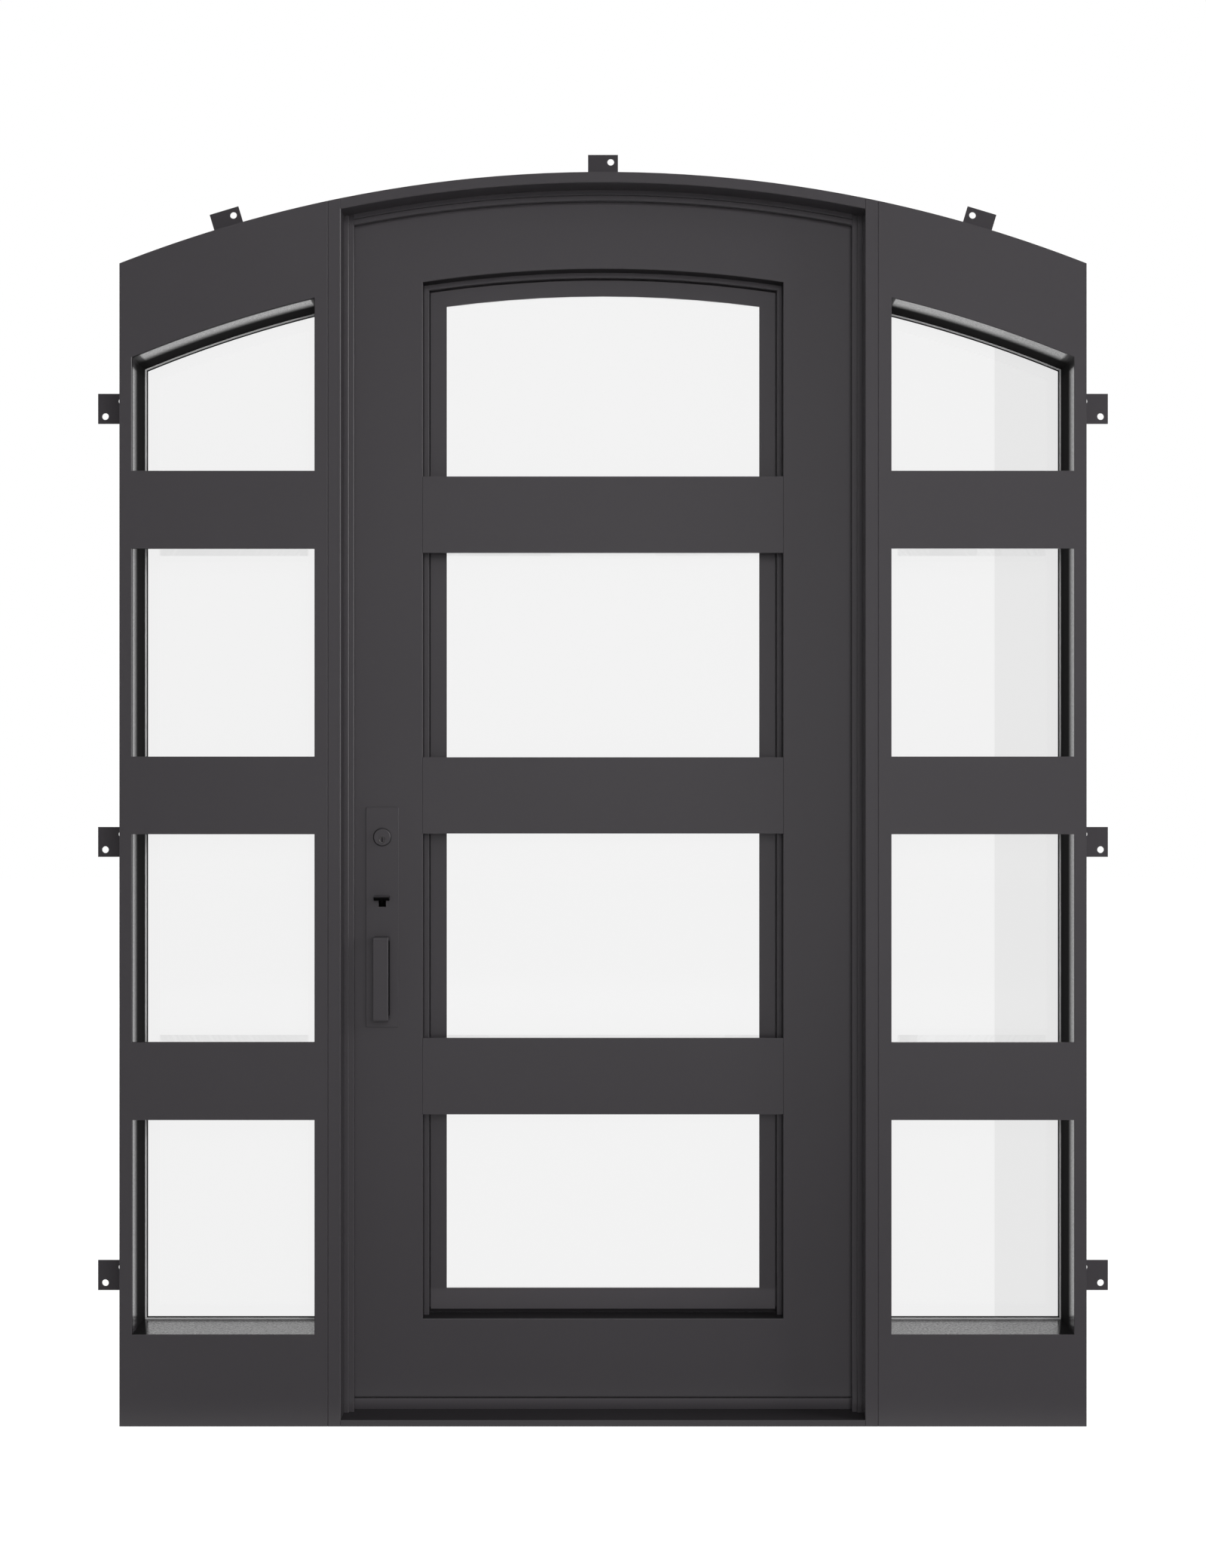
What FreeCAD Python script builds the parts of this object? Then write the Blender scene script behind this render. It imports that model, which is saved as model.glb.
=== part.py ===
"""Steel entry door with two sidelights under a segmental arch.

Millimetres. X runs to the right as seen from outside, Y runs inwards through the wall and Z is up.
The origin is the bottom centre of the frame, at half the depth of the frame.
"""
import FreeCAD, Part
import math
import os

import Sketcher

Vector = FreeCAD.Vector

doc = FreeCAD.newDocument("DoorWithSidelights")

# Driving dimensions
SIZES = [
    # Frame
    ("clear_width", 1020, "width between the door jambs"),
    ("apex_height", 2438.4, "floor to the top of the arch"),
    ("arch_rise", 177.8, "rise of the arch from its ends to its top"),
    ("frame_depth", 152.4, "depth of every frame member"),
    ("jamb_face", 25, "face of a door jamb"),
    ("head_face", 20.4, "face of the arched head over the door"),
    ("sill_thick", 12, "thickness of the sill plate"),
    ("threshold_front", 85, "from the front of the frame to the raised threshold"),
    ("threshold_rise", 21.5, "height of the threshold above the sill plate"),
    ("arris", 1.2, "chamfer on the long edges of the frame and leaf"),
    # Door stop
    ("stop_front", 58, "from the front of the frame to the door stop"),
    ("stop_width", 9.5, "face of the outer step of the stop"),
    ("stop_step", 6, "set back of the inner step of the stop"),
    ("stop_lip", 9.8, "face of the inner step of the stop"),
    # Sidelights
    ("sidelight_width", 405, "overall width of one sidelight"),
    ("outer_stile", 24, "face of the outer stile of a sidelight"),
    ("inner_stile", 26, "face of the sidelight stile beside the door"),
    ("side_bottom_rail", 179, "height of the bottom rail of a sidelight"),
    ("side_top_rail", 178, "height of the arched top rail of a sidelight"),
    ("bar_height", 151, "height of every crossbar"),
    ("bar_first", 671, "height of the middle of the lowest crossbar"),
    ("bar_last_drop", 478.6, "from the ends of the arch down to the middle of the top crossbar"),
    ("bar_thick", 11, "thickness of the outer crossbars"),
    ("glass_front", 137, "from the front of the frame to the glass"),
    ("glass_thick", 6, "thickness of the glass"),
    ("glass_stop_width", 3, "width of the stop in front of the sidelight glass"),
    ("glass_stop_thick", 2.4, "thickness of that stop"),
    ("bead_width", 12, "width of the inner glazing bead"),
    # Door leaf
    ("leaf_thick", 70, "thickness of the door leaf"),
    ("leaf_gap", 5, "gap between the leaf and the frame"),
    ("arch_gap", 6.5, "gap between the leaf and the arched head"),
    ("lock_bevel", 3.5, "bevel of the edge of the leaf at the lock"),
    ("leaf_stile", 148.3, "width of the stiles of the leaf"),
    ("leaf_bottom_rail", 152.7, "height of the bottom rail of the leaf"),
    ("leaf_top_rail", 143, "height of the arched top rail of the leaf"),
    ("leaf_bar_thick", 11, "thickness of the crossbars on the leaf"),
    ("light_stop_front", 35.6, "from the face of the leaf to the stop round the opening light"),
    ("light_stop_width", 10, "width of that stop"),
    ("light_stop_thick", 25, "thickness of that stop"),
    ("light_gap", 2.4, "gap between the stop and the opening light"),
    ("light_front", 50.6, "from the face of the leaf to the opening light"),
    ("light_face", 31.7, "face of the opening light's frame at the sides and top"),
    ("light_bottom_face", 41.8, "face of the opening light's frame at the bottom"),
    ("light_bottom_gap", 8.9, "gap under the opening light"),
    ("light_flange", 8, "flange of the opening light, which laps behind the stop"),
    ("light_lip", 3.4, "thickness of the lip in front of the glass"),
    ("light_bite", 6, "glass held inside the frame of the opening light"),
    # Anchor straps
    ("strap_width", 60, "width of a wall strap"),
    ("strap_reach", 73, "how far a strap stands out of the frame"),
    ("strap_thick", 4, "thickness of a strap"),
    ("strap_hole", 13.6, "diameter of the holes in a strap"),
    ("strap_edge", 14.5, "from the middle of a hole to the edges of the strap"),
    ("strap_inner", 25.4, "from the frame to the middle of the inner hole"),
    ("strap_low", 264.2, "height of the middle of the lowest side strap"),
    ("strap_last_drop", 258.5, "from the ends of the arch down to the middle of the top side strap"),
    ("strap_angle", 16.7, "degrees from the top of the arch to the straps beside it"),
    # Lock set
    ("lock_setback", 68.6, "from the edge of the leaf to the middle of the lock set"),
    ("plate_bottom", 768, "height of the bottom of the lock plate"),
    ("plate_height", 435.4, "height of the lock plate"),
    ("plate_width", 65, "width of the lock plate"),
    ("plate_thick", 3, "thickness of the lock plate"),
    ("plate_corner", 3, "corner radius of the lock plate"),
    ("plate_arris", 0.8, "chamfer round the face of the lock plate"),
    ("cylinder_drop", 59.4, "from the top of the plate down to the middle of the lock cylinder"),
    ("cylinder_radius", 18, "radius of the ring round the lock cylinder"),
    ("cylinder_stand", 5, "how far the cylinder stands out of its plate"),
    ("plug_radius", 6.5, "radius of the key plug"),
    ("plug_drop", 5, "from the middle of the cylinder down to the middle of the key plug"),
    ("plug_depth", 1.2, "set back of the key plug"),
    ("keyway_width", 2, "width of the keyway"),
    ("keyway_height", 8.6, "height of the keyway"),
    ("keyway_depth", 3, "depth of the keyway"),
    ("pull_up", 14.5, "from the bottom of the plate to the bottom of the pull"),
    ("pull_height", 165.5, "height of the pull"),
    ("pull_width", 30, "width of the pull"),
    ("pull_thick", 10, "thickness of the grip of the pull"),
    ("pull_stand", 42, "how far the pull stands out of its plate"),
    ("pull_foot", 6.5, "height of each foot of the pull"),
    ("pull_corner", 5, "radius of the outer corners of the pull"),
    ("pull_inner_corner", 3, "radius of the corners inside the pull"),
    ("latch_up", 255.5, "from the bottom of the plate to the middle of the thumb piece"),
    ("latch_head_width", 30, "width of the thumb piece"),
    ("latch_head_thick", 9, "thickness of the thumb piece"),
    ("latch_head_reach", 24, "how far the thumb piece stands out of its plate"),
    ("latch_nose", 7.5, "radius under the front edge of the thumb piece"),
    ("latch_stem_width", 4, "width of the stem of the thumb piece"),
    ("latch_stem_height", 5, "height of the stem of the thumb piece"),
    ("latch_drop", 6, "from the middle of the thumb piece down to the middle of its stem"),
    ("latch_clearance", 5.2, "clear space beside the stem and behind the thumb piece"),
    ("latch_rise", 5.8, "clear space over the stem"),
    ("latch_travel", 8.8, "clear space under the stem for its stroke"),
    ("latch_pivot_depth", 14, "from the face of the leaf to the latch pivot"),
    ("latch_tail", 1.5, "metal behind the latch pin"),
    ("latch_pin", 5, "diameter of the latch pivot pin"),
    ("latch_box_depth", 26, "depth of the recess for the latch in the stile"),
    ("turn_width", 44, "length of the inner thumb turn"),
    ("turn_thick", 8, "thickness of the inner thumb turn"),
    ("turn_stand", 22, "how far the thumb turn stands out"),
    # Hinges
    ("hinge_radius", 8, "radius of a hinge barrel"),
    ("hinge_offset", 9, "from the back of the frame to the hinge axis"),
    ("hinge_length", 120, "length of a whole hinge"),
    ("hinge_low", 300, "height of the middle of the lowest hinge"),
    ("hinge_last_drop", 160.6, "from the ends of the arch down to the middle of the top hinge"),
    ("hinge_count", 4, "number of hinges"),
    ("hinge_flange", 24, "width of a hinge flange"),
    ("hinge_flange_thick", 4, "thickness of a hinge flange"),
    ("hinge_pin", 10, "diameter of the hinge pin"),
    ("hinge_running", 0.08, "radial running clearance of the hinge pin"),
    ("hinge_washer", 1, "gap between the two barrels of a hinge"),
    ("seat_gap", 0.3, "clearance of pieces that seat against each other"),
]

sheet = doc.addObject("Spreadsheet::Sheet", "sizes")
for row, (alias, amount, meaning) in enumerate(SIZES, start=1):
    sheet.set(f"A{row}", alias)
    sheet.set(f"B{row}", str(amount))
    sheet.set(f"C{row}", meaning)
    sheet.setAlias(f"B{row}", alias)
doc.recompute()


def words(expression):
    """The expression with every size name pointed at the sheet."""
    return expression.replace("[", "sizes.").replace("]", "")


def number(expression):
    """What an expression comes to now, in millimetres."""
    return float(sheet.evalExpression(words(expression)))


def bind(item, name, expression):
    """Tie one property of a document object to the sheet."""
    item.setExpression(name, words(expression))


# Lines that many pieces share
JAMB_IN = "([clear_width] / 2)"
JAMB_OUT = f"({JAMB_IN} + [jamb_face])"
UNIT_OUT = f"({JAMB_OUT} + [sidelight_width])"
SIDE_IN = f"({JAMB_OUT} + [inner_stile])"
SIDE_OUT = f"({UNIT_OUT} - [outer_stile])"
ARCH = f"(({UNIT_OUT}^2 + [arch_rise]^2) / (2 * [arch_rise]))"
CENTRE = f"([apex_height] - {ARCH})"
SPRING = "([apex_height] - [arch_rise])"
FRONT = "(-[frame_depth] / 2)"
BACK = "([frame_depth] / 2)"
HEAD_IN = f"({ARCH} - [head_face])"
STOP_IN = f"({JAMB_IN} - [stop_width] - [stop_lip])"
STOP_ARCH = f"({HEAD_IN} - [stop_width] - [stop_lip])"
LEAF_FACE = f"({BACK} - [leaf_thick])"
LEAF_OUT = f"({JAMB_IN} - [leaf_gap])"
LEAF_ARCH = f"({HEAD_IN} - [arch_gap])"
LEAF_BOTTOM = "([sill_thick] + [threshold_rise] + [leaf_gap])"
LIGHT_SIDE = f"({LEAF_OUT} - [leaf_stile])"
LIGHT_BOTTOM = f"({LEAF_BOTTOM} + [leaf_bottom_rail])"
LIGHT_ARCH = f"({LEAF_ARCH} - [leaf_top_rail])"
SIDE_ARCH = f"({ARCH} - [side_top_rail])"
GLASS_FACE = f"({FRONT} + [glass_front])"
GLASS_BACK = f"({GLASS_FACE} + [glass_thick])"
LOCK_X = f"(-{LEAF_OUT} + [lock_setback])"
BAR_PITCH = f"(({SPRING} - [bar_last_drop] - [bar_first]) / 2)"
STRAP_PITCH = f"(({SPRING} - [strap_last_drop] - [strap_low]) / 2)"
HINGE_PITCH = f"(({SPRING} - [hinge_last_drop] - [hinge_low]) / ([hinge_count] - 1))"
PLATE_TOP = "([plate_bottom] + [plate_height])"
CYLINDER_Z = f"({PLATE_TOP} - [cylinder_drop])"
LATCH_Z = "([plate_bottom] + [latch_up])"
PULL_BOTTOM = "([plate_bottom] + [pull_up])"
PULL_TOP = f"({PULL_BOTTOM} + [pull_height])"
TOUCH = 0.01


def arch_height(across, radius):
    """Height of the arch of a given radius at a distance from the middle."""
    return f"({CENTRE} + sqrt({radius}^2 - ({across})^2))"


def sketch_on(body, role, name, lift):
    """An empty sketch on one of the body's own planes, moved along the plane's normal."""
    plane = next(item for item in body.Origin.OriginFeatures if item.Role == role)
    sketch = body.newObject("Sketcher::SketchObject", name)
    sketch.AttachmentSupport = [(plane, "")]
    sketch.MapMode = "FlatFace"
    bind(sketch, "AttachmentOffset.Base.z", lift)
    return sketch


def constrain(sketch, kind, geometry, point, expression):
    """One dimension of the sketch, tied to the sheet."""
    amount = number(expression)
    if kind == "Radius":
        index = sketch.addConstraint(Sketcher.Constraint(kind, geometry, amount))
    else:
        index = sketch.addConstraint(Sketcher.Constraint(kind, geometry, point, amount))
    bind(sketch, f"Constraints[{index}]", expression)


def loop(sketch, corners):
    """A closed outline. A third entry on a corner is the radius of the arc that leaves it."""
    points = [Vector(number(corner[0]), number(corner[1]), 0) for corner in corners]
    middle = Vector(0, number(CENTRE), 0)
    edges = []
    for index, corner in enumerate(corners):
        here = points[index]
        there = points[(index + 1) % len(corners)]
        if len(corner) == 2:
            edges.append((sketch.addGeometry(Part.LineSegment(here, there)), 1, 2))
            continue
        angles = [math.atan2(p.y - middle.y, p.x - middle.x) for p in (here, there)]
        circle = Part.Circle(middle, Vector(0, 0, 1), number(corner[2]))
        arc = sketch.addGeometry(Part.ArcOfCircle(circle, min(angles), max(angles)))
        ends = (1, 2) if angles[0] < angles[1] else (2, 1)
        edges.append((arc, *ends))
    for index, (edge, start, end) in enumerate(edges):
        after, after_start, after_end = edges[(index + 1) % len(edges)]
        sketch.addConstraint(Sketcher.Constraint("Coincident", edge, end, after, after_start))
    for (edge, start, end), corner in zip(edges, corners):
        constrain(sketch, "DistanceX", edge, start, corner[0])
        constrain(sketch, "DistanceY", edge, start, corner[1])
        if len(corner) == 3:
            constrain(sketch, "Radius", edge, 0, corner[2])


def ring(sketch, across, up, radius):
    """A full circle."""
    middle = Vector(number(across), number(up), 0)
    edge = sketch.addGeometry(Part.Circle(middle, Vector(0, 0, 1), number(radius)))
    constrain(sketch, "DistanceX", edge, 3, across)
    constrain(sketch, "DistanceY", edge, 3, up)
    constrain(sketch, "Radius", edge, 0, radius)


def pad(body, name, loops, front, back):
    """Elevation outlines, raised from one depth to another."""
    sketch = sketch_on(body, "XZ_Plane", f"{name}_outline", f"-{front}")
    for corners in loops:
        loop(sketch, corners)
    feature = body.newObject("PartDesign::Pad", name)
    feature.Profile = sketch
    feature.Reversed = True
    bind(feature, "Length", f"{back} - {front}")
    return feature


def pocket(body, name, loops, front, back):
    """Elevation outlines, cut away from one depth to another."""
    sketch = sketch_on(body, "XZ_Plane", f"{name}_outline", f"-{front}")
    for corners in loops:
        loop(sketch, corners)
    feature = body.newObject("PartDesign::Pocket", name)
    feature.Profile = sketch
    feature.Reversed = False
    bind(feature, "Length", f"{back} - {front}")
    return feature


def new_body(name):
    """A body named as its node."""
    body = doc.addObject("PartDesign::Body", name)
    body.Label = name
    body.AllowCompound = True
    return body


def dress(body, kind, name, wanted, size_name, width):
    """A chamfer or fillet on the edges that a test picks out."""
    doc.recompute()
    base = body.Tip
    picked = [f"Edge{index}" for index, edge in enumerate(base.Shape.Edges, start=1) if wanted(edge)]
    feature = body.newObject(f"PartDesign::{kind}", name)
    feature.Base = (base, picked)
    bind(feature, size_name, width)
    body.Tip = feature


def chamfer_edges(body, name, wanted, width):
    """A chamfer on the edges that a test picks out."""
    dress(body, "Chamfer", name, wanted, "Size", width)


def round_edges(body, name, wanted, radius):
    """A fillet on the edges that a test picks out."""
    dress(body, "Fillet", name, wanted, "Radius", radius)


def samples(edge):
    """Both ends and the middle of an edge."""
    first, last = edge.ParameterRange
    return [edge.valueAt(place) for place in (first, (first + last) / 2, last)]


def near(one, other):
    """Whether two lengths are the same place."""
    return abs(one - other) < TOUCH


def upright_edges(face, lines):
    """A test for upright edges at one depth that stand at one of the given places across."""
    depth = number(face)
    places = [number(line) for line in lines]

    def wanted(edge):
        points = samples(edge)
        if not all(near(point.y, depth) for point in points):
            return False
        return any(all(near(point.x, place) for point in points) for place in places)
    return wanted


def level_edges(face, height):
    """A test for level edges at one depth and height."""
    depth, up = number(face), number(height)

    def wanted(edge):
        return all(near(point.y, depth) and near(point.z, up) for point in samples(edge))
    return wanted


def arch_edges(face, radius):
    """A test for edges at one depth that follow the arch of a given radius."""
    depth, reach, middle = number(face), number(radius), number(CENTRE)

    def wanted(edge):
        points = samples(edge)
        if not all(near(point.y, depth) for point in points):
            return False
        return all(near(math.hypot(point.x, point.z - middle), reach) for point in points)
    return wanted


def either(*tests):
    """A test that passes what any of the given tests passes."""
    return lambda edge: any(test(edge) for test in tests)


def cut_arris(body, name, edge, open_side, face, bottom, top):
    """Chamfer a stretch of an upright edge; open_side is 1 where the opening is to the right."""
    sketch = sketch_on(body, "XY_Plane", f"{name}_outline", bottom)
    loop(sketch, [
        (edge, face),
        (f"({edge} - {open_side} * [arris])", face),
        (edge, f"({face} + [arris])"),
    ])
    cut = body.newObject("PartDesign::Pocket", name)
    cut.Profile = sketch
    cut.Reversed = True
    bind(cut, "Length", f"{top} - {bottom}")


nodes = []


def keep(item, name):
    """Count an object among the pieces that are written out."""
    item.Label = name
    nodes.append(item)
    return item


def block(name, left, front, bottom, width, depth, height):
    """A plain rectangular piece."""
    piece = doc.addObject("Part::Box", name)
    bind(piece, "Placement.Base.x", left)
    bind(piece, "Placement.Base.y", front)
    bind(piece, "Placement.Base.z", bottom)
    bind(piece, "Length", width)
    bind(piece, "Width", depth)
    bind(piece, "Height", height)
    return piece


def group(name, pieces):
    """Like pieces that don't touch, in one node."""
    compound = doc.addObject("Part::Compound", name)
    compound.Links = pieces
    return keep(compound, name)


def crossbars(name, left, width, front, thick):
    """The row of crossbars in one column of lights."""
    bars = []
    for row in range(3):
        bars.append(block(f"{name}_{row + 1}", left, front, bar_edge(row, -1), width, thick,
                          "[bar_height]"))
    return group(name, bars)


def bar_edge(row, end):
    """Height of the lower (end -1) or upper (end 1) edge of a crossbar."""
    return f"([bar_first] + {row} * {BAR_PITCH} + {end} * [bar_height] / 2)"


def light_rows(bottom, top):
    """The heights between which the four lights of a column stand open."""
    lows = [bottom] + [bar_edge(row, 1) for row in range(3)]
    highs = [bar_edge(row, -1) for row in range(3)] + [top]
    return list(zip(lows, highs))


def rail(name, left, right, face, back, bottom, top):
    """A level rail with an arris on its upper front edge."""
    body = new_body(name)
    pad(body, f"{name}_pad", [[(left, bottom), (right, bottom), (right, top), (left, top)]], face, back)
    chamfer_edges(body, f"{name}_arris", level_edges(face, top), "[arris]")
    return keep(body, name)


def upright(x_one, x_two, bottom, radius):
    """Outline of a post whose top follows the arch; x_one is left of x_two."""
    return [
        (x_one, bottom),
        (x_two, bottom),
        (x_two, arch_height(x_two, radius), radius),
        (x_one, arch_height(x_one, radius)),
    ]


def arched_band(x_one, x_two, outer, inner):
    """Outline of a band between two arches; x_one is left of x_two."""
    return [
        (x_one, arch_height(x_one, inner), inner),
        (x_two, arch_height(x_two, inner)),
        (x_two, arch_height(x_two, outer), outer),
        (x_one, arch_height(x_one, outer)),
    ]


def span(side, inner, outer):
    """The left and right ends of a stretch on one side of the middle."""
    if side < 0:
        return f"(-({outer}))", f"(-({inner}))"
    return inner, outer


# Door jambs, arched head and sill
for side, word in ((-1, "left"), (1, "right")):
    jamb = new_body(f"{word}_jamb")
    ends = span(side, JAMB_IN, JAMB_OUT)
    pad(jamb, f"{word}_jamb_pad", [upright(*ends, "0", ARCH)], FRONT, BACK)
    chamfer_edges(jamb, f"{word}_jamb_arris", upright_edges(FRONT, ends), "[arris]")
    keep(jamb, f"{word}_jamb")

head = new_body("head_jamb")
pad(head, "head_pad", [arched_band(f"(-{JAMB_IN})", JAMB_IN, ARCH, HEAD_IN)], FRONT, BACK)
chamfer_edges(head, "head_arris", arch_edges(FRONT, HEAD_IN), "[arris]")
keep(head, "head_jamb")

rail("sill_plate", f"(-{JAMB_IN})", JAMB_IN, FRONT, BACK, "0", "[sill_thick]")
rail("threshold", f"(-{JAMB_IN})", JAMB_IN, f"({FRONT} + [threshold_front])", BACK, "[sill_thick]",
     "([sill_thick] + [threshold_rise])")

# Door stops, each with an outer and an inner step
STOP_FACE = f"({FRONT} + [stop_front])"
STOP_BACK = f"({LEAF_FACE} - [leaf_gap])"
STOP_MID = f"({JAMB_IN} - [stop_width])"
STOP_MID_ARCH = f"({HEAD_IN} - [stop_width])"
LIP_FACE = f"({STOP_FACE} + [stop_step])"
for side, word in ((-1, "left"), (1, "right")):
    stop = new_body(f"{word}_stop")
    pad(stop, f"{word}_stop_lip", [upright(*span(side, STOP_IN, JAMB_IN), "[sill_thick]", HEAD_IN)],
        LIP_FACE, STOP_BACK)
    pad(stop, f"{word}_stop_face", [upright(*span(side, STOP_MID, JAMB_IN), "[sill_thick]", HEAD_IN)],
        STOP_FACE, LIP_FACE)
    chamfer_edges(stop, f"{word}_stop_arris", either(
        upright_edges(STOP_FACE, [f"{side} * {STOP_MID}"]),
        upright_edges(LIP_FACE, [f"{side} * {STOP_IN}"])), "[arris]")
    keep(stop, f"{word}_stop")
stop = new_body("head_stop")
pad(stop, "head_stop_lip", [arched_band(f"(-{STOP_IN})", STOP_IN, HEAD_IN, STOP_ARCH)],
    LIP_FACE, STOP_BACK)
pad(stop, "head_stop_face", [arched_band(f"(-{STOP_IN})", STOP_IN, HEAD_IN, STOP_MID_ARCH)],
    STOP_FACE, LIP_FACE)
chamfer_edges(stop, "head_stop_arris", either(
    arch_edges(STOP_FACE, STOP_MID_ARCH), arch_edges(LIP_FACE, STOP_ARCH)), "[arris]")
keep(stop, "head_stop")


def opening(x_one, x_two, bottom, radius, inset="0"):
    """Outline of a light with an arched top, drawn inwards by an inset."""
    left = f"({x_one} + {inset})"
    right = f"({x_two} - {inset})"
    arc = f"({radius} - {inset})"
    return [
        (left, f"({bottom} + {inset})"),
        (right, f"({bottom} + {inset})"),
        (right, arch_height(right, arc), arc),
        (left, arch_height(left, arc)),
    ]


# Sidelights
for side, word in ((-1, "left"), (1, "right")):
    name = f"{word}_outer_stile"
    ends = span(side, SIDE_OUT, UNIT_OUT)
    stile = new_body(name)
    pad(stile, f"{name}_pad", [upright(*ends, "0", ARCH)], FRONT, BACK)
    rows = light_rows("[side_bottom_rail]", arch_height(SIDE_OUT, SIDE_ARCH))
    for row, (low, high) in enumerate(rows, start=1):
        cut_arris(stile, f"{name}_arris_{row}", f"({side} * {SIDE_OUT})", -side, FRONT, low, high)
    keep(stile, name)

    name = f"{word}_inner_stile"
    ends = span(side, JAMB_OUT, SIDE_IN)
    stile = new_body(name)
    pad(stile, f"{name}_pad", [upright(*ends, "0", ARCH)], FRONT, BACK)
    chamfer_edges(stile, f"{name}_seam", upright_edges(FRONT, [f"{side} * {JAMB_OUT}"]), "[arris]")
    rows = light_rows("[side_bottom_rail]", arch_height(SIDE_IN, SIDE_ARCH))
    for row, (low, high) in enumerate(rows, start=1):
        cut_arris(stile, f"{name}_arris_{row}", f"({side} * {SIDE_IN})", side, FRONT, low, high)
    keep(stile, name)

    left, right = span(side, SIDE_IN, SIDE_OUT)
    width = f"({SIDE_OUT} - {SIDE_IN})"
    rail(f"{word}_bottom_rail", left, right, FRONT, BACK, "0", "[side_bottom_rail]")
    name = f"{word}_top_rail"
    top_rail = new_body(name)
    pad(top_rail, f"{name}_pad", [arched_band(left, right, ARCH, SIDE_ARCH)], FRONT, BACK)
    chamfer_edges(top_rail, f"{name}_arris", arch_edges(FRONT, SIDE_ARCH), "[arris]")
    keep(top_rail, name)

    crossbars(f"{word}_crossbars", left, width, FRONT, "[bar_thick]")

    whole = (left, right, "[side_bottom_rail]", SIDE_ARCH)
    name = f"{word}_glass_stop"
    trim = new_body(name)
    pad(trim, f"{name}_pad", [opening(*whole), opening(*whole, "[glass_stop_width]")],
        f"({GLASS_FACE} - [glass_stop_thick])", GLASS_FACE)
    keep(trim, name)

    name = f"{word}_glass"
    pane = new_body(name)
    pad(pane, f"{name}_pad", [opening(*whole)], GLASS_FACE, GLASS_BACK)
    keep(pane, name)

    name = f"{word}_inner_bead"
    bead = new_body(name)
    pad(bead, f"{name}_pad", [opening(*whole), opening(*whole, "[bead_width]")], GLASS_BACK, BACK)
    keep(bead, name)

    crossbars(f"{word}_inner_crossbars", f"({left} + [bead_width])", f"({width} - 2 * [bead_width])",
              GLASS_BACK, f"({BACK} - {GLASS_BACK})")

# Wall straps: three up each side and three over the arch
STRAP_FACE = f"({BACK} - [strap_thick])"


def side_strap(side, row):
    """One flat strap beside the frame, with its two holes."""
    label = f"strap_{'left' if side < 0 else 'right'}_{row + 1}"
    middle = f"([strap_low] + {row} * {STRAP_PITCH})"
    low = f"({middle} - [strap_width] / 2)"
    high = f"({middle} + [strap_width] / 2)"
    left, right = span(side, UNIT_OUT, f"({UNIT_OUT} + [strap_reach])")
    strap = new_body(label)
    sketch = sketch_on(strap, "XZ_Plane", f"{label}_outline", f"-{STRAP_FACE}")
    loop(sketch, [(left, low), (right, low), (right, high), (left, high)])
    sign = "-" if side < 0 else ""
    ring(sketch, f"{sign}({UNIT_OUT} + [strap_reach] - [strap_edge])", f"({low} + [strap_edge])",
         "[strap_hole] / 2")
    ring(sketch, f"{sign}({UNIT_OUT} + [strap_inner])", f"({high} - [strap_edge])", "[strap_hole] / 2")
    feature = strap.newObject("PartDesign::Pad", f"{label}_pad")
    feature.Profile = sketch
    feature.Reversed = True
    bind(feature, "Length", "[strap_thick]")
    return strap


def arch_strap(turn, label, hole_side):
    """One flat strap on the arch, drawn at the top and turned about the arch centre."""
    half = "([strap_width] / 2)"
    top = "([apex_height] + [strap_reach])"
    strap = new_body(label)
    sketch = sketch_on(strap, "XZ_Plane", f"{label}_outline", f"-{STRAP_FACE}")
    loop(sketch, [
        (f"(-{half})", top),
        (f"(-{half})", arch_height(half, ARCH), ARCH),
        (half, arch_height(half, ARCH)),
        (half, top),
    ])
    sign = "-" if hole_side < 0 else ""
    other = "" if hole_side < 0 else "-"
    ring(sketch, f"{sign}({half} - [strap_edge])", f"({top} - [strap_edge])", "[strap_hole] / 2")
    ring(sketch, f"{other}({half} - [strap_edge])", "([apex_height] + [strap_inner])",
         "[strap_hole] / 2")
    feature = strap.newObject("PartDesign::Pad", f"{label}_pad")
    feature.Profile = sketch
    feature.Reversed = True
    bind(feature, "Length", "[strap_thick]")
    strap.Placement.Rotation = FreeCAD.Rotation(Vector(0, 1, 0), 1)
    bind(strap, "Placement.Rotation.Angle", f"{turn} * [strap_angle]")
    bind(strap, "Placement.Base.x", f"-{CENTRE} * sin({turn} * [strap_angle] * 1deg)")
    bind(strap, "Placement.Base.z", f"{CENTRE} * (1 - cos({turn} * [strap_angle] * 1deg))")
    return strap


group("left_straps", [side_strap(-1, row) for row in range(3)])
group("right_straps", [side_strap(1, row) for row in range(3)])
group("arch_straps", [arch_strap(-1, "strap_arch_left", 1), arch_strap(0, "strap_arch_top", 1),
                      arch_strap(1, "strap_arch_right", -1)])

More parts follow.
